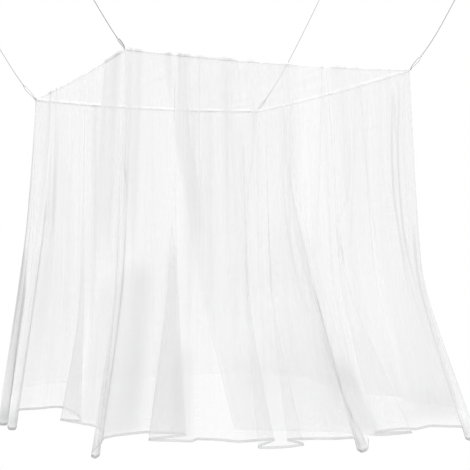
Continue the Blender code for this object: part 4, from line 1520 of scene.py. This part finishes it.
@dataclass
class EdgeTape:
    """The woven tape over one roof edge, an upright strip that follows the edge's sag."""

    side: Side
    steps: int = 240
    corner: float = 0.0007
    stitches_up: float = 0.0045
    stitches_out: float = 0.0021

    @property
    def name(self) -> str:
        """The tape's name."""
        return f"edge_tape_{self.side.name.lower()}"

    @property
    def outward(self) -> Array:
        """The direction that the tape faces."""
        return np.array([*self.side.value.outward, 0.0])

    def middle(self) -> Array:
        """The line along the tape's middle; the side tapes end between the other two.

        Returns:
            Its points.
        """
        edge = self.side.value
        between = self.side in (Side.LEFT, Side.RIGHT)
        trim = TAPE_THICKNESS / 2 + GAP if between else -TAPE_THICKNESS / 2
        place = np.linspace(trim, edge.length - trim, self.steps + 1)
        return edge.point(place, 0 * place, -edge.drop(place) - TAPE_DEPTH / 2)

    def build(self, material: Material) -> Thing:
        """Carries the strip's section along the sagging edge.

        Args:
            material: The tape's finish.

        Returns:
            The tape.
        """
        path = self.middle()
        profile = strip_profile((TAPE_THICKNESS / 2, TAPE_DEPTH / 2), (self.corner, self.corner))
        grid = carried(profile, path, self.outward, UP)
        faces = tube_faces(*grid.shape[:2])
        if self.side in (Side.FAR, Side.LEFT):
            faces = [part[:, ::-1] for part in faces]
        cloth = cloth_places(profile[:, 1] + TAPE_DEPTH, travelled(path))
        thing = add_mesh(self.name, grid, faces, cloth)
        return dress(thing, material, "edge_tape", f"tape_{self.side.name.lower()}")

    def stitch_lines(self) -> list[Run]:
        """Two rows of stitches outside, over the net's heading, and two inside.

        Returns:
            The lines and their normals.
        """
        path = self.middle()
        outward = np.broadcast_to(self.outward, path.shape)
        lines = []
        for level in (-self.stitches_up, self.stitches_up):
            raised = path + UP * level
            lines.append((raised + outward * self.stitches_out, outward))
            lines.append((raised - outward * TAPE_THICKNESS / 2, -outward))
        return lines


@dataclass(frozen=True)
class CornerRoute:
    """Where one corner's tab and cord go, in their upright plane turned by heading degrees.

    tab and cord are (out, up) places from the roof's corner, and opening is half of the widest
    space between the tab's two legs.
    """

    label: str
    corner: tuple[float, float]
    heading: float
    opening: float
    tab: tuple[tuple[float, float], ...]
    cord: tuple[tuple[float, float], ...]

    @property
    def out(self) -> Array:
        """The level direction of the plane."""
        angle = math.radians(self.heading)
        return np.array([math.cos(angle), math.sin(angle), 0.0])

    @property
    def sideways(self) -> Array:
        """The direction square to the plane."""
        return np.cross(UP, self.out)

    def in_space(self, route: Array | tuple[tuple[float, float], ...]) -> Array:
        """Turns (out, up) places into points."""
        places = np.array(route, dtype=float)
        return np.array([*self.corner, 0.0]) + places[:, :1] * self.out + places[:, 1:] * UP


CORNER_ROUTES = (
    CornerRoute(
        "near_left", (-HALF_X, -HALF_Y), -155, 0.0060,
        ((0.004, -0.012), (0.008, -0.001), (0.022, 0.013), (0.041, 0.029), (0.052, 0.038)),
        (
            (0.0615, 0.0465), (0.090, 0.075), (0.125, 0.112),
            (0.165, 0.156), (0.198, 0.193), (0.225, 0.224),
        ),
    ),
    CornerRoute(
        "near_right", (HALF_X, -HALF_Y), -48, 0.0070,
        ((0.004, -0.012), (0.008, 0.000), (0.022, 0.016), (0.043, 0.038), (0.062, 0.060)),
        (
            (0.0700, 0.0700), (0.100, 0.108), (0.138, 0.161),
            (0.182, 0.231), (0.228, 0.311), (0.281, 0.404),
        ),
    ),
    CornerRoute(
        "far_right", (HALF_X, HALF_Y), 27, 0.0080,
        ((0.004, -0.012), (0.009, 0.000), (0.030, 0.018), (0.070, 0.053), (0.105, 0.086)),
        (
            (0.1133, 0.0937), (0.190, 0.172), (0.290, 0.283), (0.400, 0.416),
            (0.520, 0.570), (0.650, 0.743), (0.775, 0.913), (0.880, 1.060),
        ),
    ),
    CornerRoute(
        "far_left", (-HALF_X, HALF_Y), 133, 0.0095,
        ((0.004, -0.012), (0.009, 0.001), (0.029, 0.022), (0.064, 0.056), (0.098, 0.093)),
        (
            (0.1061, 0.1014), (0.140, 0.142), (0.180, 0.193),
            (0.235, 0.268), (0.300, 0.360), (0.378, 0.474),
        ),
    ),
)


@dataclass(frozen=True)
class LaidTube:
    """A cord of twisted strands along any path."""

    radius: float
    lay: float
    strands: int = 3
    strand_ratio: float = 2.155
    groove_share: float = 0.62
    around: int = 21

    def section(self, run: Array) -> Array:
        """The outline of the strands at each distance along the cord.

        A strand of radius r = R / 2.155 lies R - r from the cord's middle, and they turn once
        in the lay. At an angle p from the nearest strand's middle the outline is
        (R - r) cos p + sqrt(r^2 - (R - r)^2 sin^2 p), here with its grooves half filled.

        Args:
            run: Distances along the cord.

        Returns:
            A ring of (x, y) points for each.
        """
        strand = self.radius / self.strand_ratio
        off = self.radius - strand
        angle = np.linspace(0, TURN, self.around, endpoint=False)[None, :]
        wedge = TURN / self.strands
        from_strand = (angle - TURN * run[:, None] / self.lay + wedge / 2) % wedge - wedge / 2
        root = np.sqrt(np.maximum(strand**2 - (off * np.sin(from_strand)) ** 2, 0))
        outline = np.maximum(off * np.cos(from_strand) + root, self.radius * self.groove_share)
        return np.stack([outline * np.cos(angle), outline * np.sin(angle)], axis=-1)

    def build(self, name: str, path: Array, side: Array, closed: bool = False) -> Thing:
        """Carries the strands along a path.

        Args:
            name: The piece's name.
            path: The points that it follows.
            side: A direction square to the path at each point, or at all of them.
            closed: True if the path is a ring.

        Returns:
            The tube.
        """
        if closed:
            ahead = np.roll(path, -1, axis=0) - np.roll(path, 1, axis=0)
        else:
            ahead = np.gradient(path, axis=0)
        up = unit(np.cross(ahead, side))
        grid = carried(self.section(travelled(path)), path, unit(np.cross(up, ahead)), up)
        rows, columns = grid.shape[:2]
        if closed:
            faces = [grid_faces(rows + 1, columns, ring=True) % (rows * columns)]
        else:
            faces = tube_faces(rows, columns)
        return add_mesh(name, grid, faces)


@dataclass
class Cord:
    """Laid cord of three strands, in the plane of its corner, tied at both ends."""

    route: CornerRoute
    laid: LaidTube = LaidTube(0.0025, 0.019)
    tied: LaidTube = LaidTube(0.0016, 0.011)
    step: float = 0.0012
    fine_steps: int = 60
    knot_radius: float = 0.0055
    knot_depth: float = 1.35
    knot_steps: int = 90
    loop_length: float = 0.036
    loop_width: float = 0.016
    loop_steps: int = 96
    loop_root: float = 0.35

    def centre_line(self) -> Array:
        """Even steps along the smooth curve through the route's places.

        Returns:
            The cord's middle.
        """
        points = self.route.in_space(self.route.cord)
        gaps = np.linalg.norm(np.diff(points, axis=0), axis=1)
        last = len(points) - 1
        fine = curve_through(points, gaps, np.linspace(0, last, self.fine_steps * last + 1))
        run = travelled(fine)
        return read_along(np.linspace(0, run[-1], round(run[-1] / self.step)), run, fine)

    def knot(self, name: str, centre: Array, ahead: Array) -> Thing:
        """An overhand knot: a tube along a trefoil.

        At a turn t the trefoil is ((2 + cos 3t) cos 2t, (2 + cos 3t) sin 2t, sin 3t), scaled,
        with its axis along the cord.

        Args:
            name: The piece's name.
            centre: Its middle.
            ahead: The direction of the cord.

        Returns:
            The knot.
        """
        turn = np.linspace(0, TURN, self.knot_steps, endpoint=False)[:, None]
        size = (self.knot_radius - self.tied.radius) / 3
        side, ring = self.route.sideways, 2 + np.cos(3 * turn)
        upward = np.cross(ahead, side)
        aside, above = ring * np.cos(2 * turn) * side, ring * np.sin(2 * turn) * upward
        path = centre + size * (aside + above + self.knot_depth * np.sin(3 * turn) * ahead)
        outward = np.cos(2 * turn) * side + np.sin(2 * turn) * upward
        off_ring = np.cos(3 * turn) * outward + np.sin(3 * turn) * ahead
        return self.tied.build(name, path, off_ring, closed=True)

    def end_loop(self, name: str, start: Array, ahead: Array) -> Thing:
        """The loop that slips over a hook, pointed where it leaves its knot.

        At a turn t it has gone (1 - cos t) / 2 of its length ahead, and stands aside by
        sin t (root + (1 - root) sin(t / 2)) of half its width.

        Args:
            name: The piece's name.
            start: Where it leaves its knot.
            ahead: The direction of the cord.

        Returns:
            The loop.
        """
        turn = np.linspace(0, TURN, self.loop_steps, endpoint=False)[:, None]
        reach = (1 - np.cos(turn)) * self.loop_length / 2
        bulge = self.loop_root + (1 - self.loop_root) * np.sin(turn / 2)
        side = self.route.sideways
        ring = start + reach * ahead + np.sin(turn) * bulge * self.loop_width / 2 * side
        return self.laid.build(name, ring, np.cross(ahead, side), closed=True)

    def build(self, material: Material) -> Thing:
        """Args:
            material: The cord's finish.

        Returns:
            The cord.
        """
        label = self.route.label
        path = self.centre_line()
        cord = self.laid.build(f"hanging_cord_{label}", path, self.route.sideways)
        ends = self.route.in_space(self.route.cord)
        leave, arrive = unit(ends[1] - ends[0]), unit(ends[-1] - ends[-2])
        off = self.knot_radius + GAP
        knot = self.knot(f"tied_knot_{label}", ends[0] - leave * off, leave)
        end_knot = self.knot(f"loop_knot_{label}", ends[-1] + arrive * off, arrive)
        past_knot = 2 * self.knot_radius + 2 * GAP + self.laid.radius
        loop = self.end_loop(f"end_loop_cord_{label}", ends[-1] + arrive * past_knot, arrive)
        parts = ((cord, "cord"), (knot, "knot"), (end_knot, "end_knot"), (loop, "end_loop"))
        for piece, node in parts:
            dress(piece, material, "hanging_cord", f"{node}_{label}")
        return cord


@dataclass
class Tab:
    """A tape folded into a loop, with both ends sewn side by side on the roof's corner.

    shape holds the loop's (share of its length, share of its half opening) pairs, from the
    corner to its far end.
    """

    route: CornerRoute
    width: float = 0.010
    thickness: float = 0.0018
    edge: float = 0.45
    steps: int = 36
    fine_steps: int = 200
    bend_steps: int = 12
    stitches_aside: float = 0.36
    shape: tuple[tuple[float, float], ...] = (
        (0.000, 0.00), (0.100, 0.28), (0.240, 0.58), (0.420, 0.86), (0.620, 1.00),
        (0.800, 0.97), (0.920, 0.78), (0.975, 0.45), (1.000, 0.00),
    )

    def loop(self) -> Run:
        """The tape's middle line round the loop, and its outward side at each point.

        Returns:
            Both, one row for each step.
        """
        points = np.array(self.route.tab, dtype=float)
        gaps = np.linalg.norm(np.diff(points, axis=0), axis=1)
        middle = curve_through(points, gaps, np.linspace(0, len(points) - 1, self.fine_steps))
        run = travelled(middle)
        share, width = np.array(self.shape).T
        line = read_along(share * (run[-1] - self.thickness / 2 - GAP), run, middle)
        ahead = unit(np.gradient(line, axis=0))
        half_open = np.maximum(width * self.route.opening, self.thickness / 2 + GAP)
        half_open[-1] = 0
        leg = np.stack([-ahead[:, 1], ahead[:, 0]], axis=1) * half_open[:, None]
        shape = np.concatenate([line + leg, (line - leg)[-2::-1]])
        gaps = np.linalg.norm(np.diff(shape, axis=0), axis=1)
        stops = np.linspace(0, len(shape) - 1, self.bend_steps * len(shape))
        fine = curve_through(shape, gaps, stops)
        run = travelled(fine)
        path = self.route.in_space(read_along(np.linspace(0, run[-1], 2 * self.steps), run, fine))
        return path, np.cross(unit(np.gradient(path, axis=0)), self.route.sideways)

    def build(self, material: Material) -> Thing:
        """Carries the tape's section round the loop.

        Args:
            material: The tape's finish.

        Returns:
            The tab.
        """
        path, up = self.loop()
        half = (self.width / 2, self.thickness / 2)
        profile = strip_profile(half, (self.thickness * self.edge, self.thickness / 2))
        grid = carried(profile, path, self.route.sideways, up)
        cloth = cloth_places(profile[:, 0] + self.width, travelled(path))
        name = f"corner_tab_{self.route.label}"
        thing = add_mesh(name, grid, tube_faces(*grid.shape[:2]), cloth)
        return dress(thing, material, "edge_tape", f"tab_{self.route.label}")

    def stitch_lines(self) -> list[Run]:
        """Two rows of stitches on the outer face of the loop, close to the tape's edges.

        Returns:
            The lines and their normals.
        """
        path, up = self.loop()
        outward = up * np.sign((up[0] * self.route.out).sum() or 1.0)
        face = path + outward * self.thickness / 2
        aside = self.route.sideways * self.width * self.stitches_aside
        return [(face - aside, outward), (face + aside, outward)]


@dataclass
class CornerSeam:
    """The seam allowance where two wall panels are sewn together, turned to the inside."""

    label: str
    line: Array
    inward: Array
    width: float = 0.008
    layers: float = 1.6
    wave: float = 0.0012
    wave_turn: float = 0.45
    stitches_out: float = 0.0004

    def build(self, material: Material) -> Thing:
        """A narrow strip of doubled net from the seam inwards, with a slight wave.

        Args:
            material: The net's finish.

        Returns:
            The strip.
        """
        rows = len(self.line)
        sway = self.wave * np.sin(np.arange(rows) * self.wave_turn)[:, None]
        edge = self.line + self.inward * self.width + sway * np.cross(self.inward, UP)
        points = np.stack([self.line, (self.line + edge) / 2, edge], axis=1)
        cloth = cloth_places(np.linspace(0, self.width, 3), travelled(self.line))
        layers = np.full((rows, 3), self.layers)
        faces = [grid_faces(rows, 3)]
        thing = add_mesh(f"corner_seam_{self.label}", points, faces, cloth, layers)
        return dress(thing, material, "net")

    def stitch_line(self) -> Run:
        """The line of stitches down the outside of the seam, and its normals."""
        outside = self.line - self.inward * self.stitches_out
        return outside, np.broadcast_to(-self.inward, self.line.shape)


@dataclass
class Canopy:
    """The whole net: roof, walls, tapes, seams, tabs, cords and stitching."""

    thread_light: Colour = (0.86, 0.86, 0.86)
    thread_dark: Colour = (0.70, 0.70, 0.70)
    thread_fibre: float = 0.0003
    # Painted shade: the corner tabs are white tape, painted grey because they hang in shade
    shaded_tab_light: Colour = (0.56, 0.56, 0.56)
    shaded_tab_dark: Colour = (0.40, 0.40, 0.40)
    roof_seed: float = 40.0
    seam_seed: float = 60.0
    first_wall_seed: float = 3.0
    wall_seed_step: float = 7.0

    def walls(self) -> dict[str, Wall]:
        """The five wall panels, before they are sewn together.

        Returns:
            The panels by their short names.
        """
        return {
            "left": Wall(
                "wall_left", Side.LEFT, LEFT_FOLDS, LEFT_STREAKS,
                set_off=0.0, columns=560, gathers=60, seed=21, skirt=0.1,
                hem=Hem(((0.0, 1.0), (15.8, 1.0), (16.8, 0.2), (20.0, 0.1))),
            ),
            "outer": Wall(
                "wall_near_outer", Side.NEAR, NEAR_OUTER_FOLDS, NEAR_OUTER_STREAKS,
                set_off=0.0012, columns=480, gathers=54, seed=22, skirt=0.3,
                heading=Heading(off=0.0019), free_edge=-1,
            ),
            "inner": Wall(
                "wall_near_inner", Side.NEAR, NEAR_INNER_FOLDS, NEAR_INNER_STREAKS,
                set_off=-0.0012, columns=400, gathers=48, seed=23, skirt=0.3,
                heading=Heading(off=0.0014), outer_face=-1.0, free_edge=0, side_hem_extra=0.0,
                hem=Hem(((0.0, 0.2), (4.6, 0.2), (5.2, 1.0), (15.0, 1.0))),
            ),
            "right": Wall(
                "wall_right", Side.RIGHT, RIGHT_FOLDS, RIGHT_STREAKS,
                set_off=0.0, columns=440, gathers=48, seed=24, skirt=0.15,
                heading=Heading(seam_extra=1.5),
                hem=Hem(((0.0, 1.0), (1.5, 1.0), (2.5, 0.25), (13.0, 0.15))),
            ),
            "far": Wall(
                "wall_far", Side.FAR, FAR_FOLDS, FAR_STREAKS,
                set_off=0.0, columns=360, gathers=40, seed=25, skirt=-0.45,
                heading=Heading(seam_extra=3.0), hem=Hem(layers=0.5),
            ),
        }

    def sew(self, walls: dict[str, Wall]) -> dict[str, CornerSeam]:
        """Brings the panels' edges together at the corners.

        Args:
            walls: The panels.

        Returns:
            For each panel that has one, the seam that it brings with it.
        """
        corners = (
            ("near_left", "left", False, "outer", False, (1, 1)),
            ("near_right", "inner", True, "right", False, (-1, 1)),
            ("far_right", "right", True, "far", True, (-1, -1)),
            ("far_left", "far", False, "left", True, (1, -1)),
        )
        seams = {}
        for label, first, first_end, second, second_end, inside in corners:
            line = (walls[first].seam(first_end) + walls[second].seam(second_end)) / 2
            walls[first].move_seam(first_end, line)
            walls[second].move_seam(second_end, line)
            seams[first] = CornerSeam(label, line, unit(np.array([*inside, 0.0])))
        return seams

    def hang(self, thread: Material) -> list[Run]:
        """Args:
            thread: The sewing thread's finish.

        Returns:
            The lines of the corner seams' stitches.
        """
        walls = self.walls()
        seam_finish = NetFinish("seam_net", self.seam_seed).material()
        seams = self.sew(walls)
        allowances = {key: seam.build(seam_finish) for key, seam in seams.items()}
        for index, (key, wall) in enumerate(walls.items()):
            seed = self.wall_seed_step * index + self.first_wall_seed
            cloth = wall.build(NetFinish(f"{wall.name}_net", seed).material())
            hem = Stitching().piece(f"hem_stitching_{key}", [wall.hem_line()])
            dress(hem, thread, "net")
            EdgeTape(wall.side).name
        return [seam.stitch_line() for seam in seams.values()]

    def build(self) -> None:
        """Builds every piece in the order in which it hangs: cords first, then the cloth."""
        cord_finish, tape_finish = CordFinish().material(), TapeFinish().material()
        thread = CordFinish("sewing_thread", self.thread_light, self.thread_dark, self.thread_fibre)
        thread_finish = thread.material()
        for route in CORNER_ROUTES:
            Cord(route).build(cord_finish)
        tabs = [Tab(route) for route in CORNER_ROUTES]
        # Painted shade: the tabs take the tape's finish in greys, and without its glow
        tab_finish = TapeFinish("shaded_tab_tape", self.shaded_tab_light, self.shaded_tab_dark, 0.0).material()
        for tab in tabs:
            tab.build(tab_finish)
        tapes = [EdgeTape(side) for side in Side]
        for tape in tapes:
            tape.build(tape_finish)
        Roof().build(NetFinish("roof_net", self.roof_seed).material())
        seam_lines = self.hang(thread_finish)
        tape_lines = [line for tape in tapes for line in tape.stitch_lines()]
        tab_lines = [line for tab in tabs for line in tab.stitch_lines()]
        small = Stitching(pitch=0.003, length=0.0022)
        dress(Stitching().piece("tape_stitching", tape_lines), thread_finish, "edge_tape")
        dress(small.piece("tab_stitching", tab_lines), cord_finish, "edge_tape")
        dress(Stitching().piece("seam_stitching", seam_lines), thread_finish, "net")


@dataclass(frozen=True)
class Lamp:
    """A very wide, soft sun: the direction that it shines along, and its strength."""

    name: str
    direction: tuple[float, float, float]
    strength: float
    width: float = 70.0

    def build(self) -> None:
        """Adds the lamp."""
        data = bpy.data.lights.new(self.name, "SUN")
        data.energy = self.strength
        data.angle = math.radians(self.width)
        lamp = bpy.data.objects.new(self.name, data)
        x, y, z = (-part for part in self.direction)
        lamp.rotation_euler = (0.0, math.atan2(math.hypot(x, y), z), math.atan2(y, x))
        bpy.context.scene.collection.objects.link(lamp)


@dataclass
class Studio:
    """A white room with soft light from all round, and the camera at a sitting eye's height."""

    camera_place: tuple[float, float, float] = (-2.479, -6.344, -0.986)
    heading: float = 23.04
    picture: float = 470.0
    focal_pixels: float = 1039.1
    sensor: float = 36.0
    sight: float = 100.0
    floor_size: float = 60.0
    floor_below: float = 0.002
    brightness: float = 1.0
    see_through: int = 64
    bounces: int = 6
    lamps: tuple[Lamp, ...] = (
        Lamp("front left light", (0.6, 0.8, -0.35), 0.75),
        Lamp("front right light", (-0.8, 0.6, -0.35), 0.55),
        Lamp("back left light", (0.8, -0.6, -0.35), 0.40),
        Lamp("back right light", (-0.6, -0.8, -0.35), 0.40),
    )

    def add_camera(self) -> None:
        """A level camera, turned by heading degrees from +Y towards +X."""
        data = bpy.data.cameras.new("camera")
        data.sensor_width = self.sensor
        data.lens = self.focal_pixels / self.picture * self.sensor
        data.clip_end = self.sight
        camera = bpy.data.objects.new("camera", data)
        camera.location = self.camera_place
        camera.rotation_euler = (math.pi / 2, 0.0, -math.radians(self.heading))
        bpy.context.scene.collection.objects.link(camera)
        bpy.context.scene.camera = camera

    def add_room(self) -> None:
        """White surroundings and a white floor just under the hems."""
        world = bpy.data.worlds.new("white room")
        world.use_nodes = True
        light = world.node_tree.nodes["Background"]
        light.inputs["Color"].default_value = (*WHITE, 1.0)
        light.inputs["Strength"].default_value = self.brightness
        bpy.context.scene.world = world
        corners = np.array([[-1, -1, 0], [1, -1, 0], [1, 1, 0], [-1, 1, 0]]) * self.floor_size / 2
        low = -HEIGHT - self.floor_below
        floor = add_mesh("floor", corners + UP * low, [np.array([[0, 1, 2, 3]])])
        graph = Graph("white_floor")
        graph.dress(
            base_color=(0.0, 0.0, 0.0),
            specular_ior_level=0.0,
            emission_color=WHITE,
            emission_strength=self.brightness,
        )
        floor.data.materials.append(graph.material)

    def build(self) -> None:
        """Sets up the room, its lamps and how the picture shows light."""
        self.add_room()
        for lamp in self.lamps:
            lamp.build()
        scene = bpy.context.scene
        scene.view_settings.view_transform = "Standard"
        scene.cycles.transparent_max_bounces = self.see_through
        scene.cycles.max_bounces = self.bounces


def main() -> None:
    """Builds the camera, the canopy and the studio, and reports each piece."""
    logging.basicConfig(level=logging.INFO, format="%(name)s: %(message)s")
    studio = Studio()
    studio.add_camera()
    Canopy().build()
    studio.build()


if __name__ == "__main__":
    main()
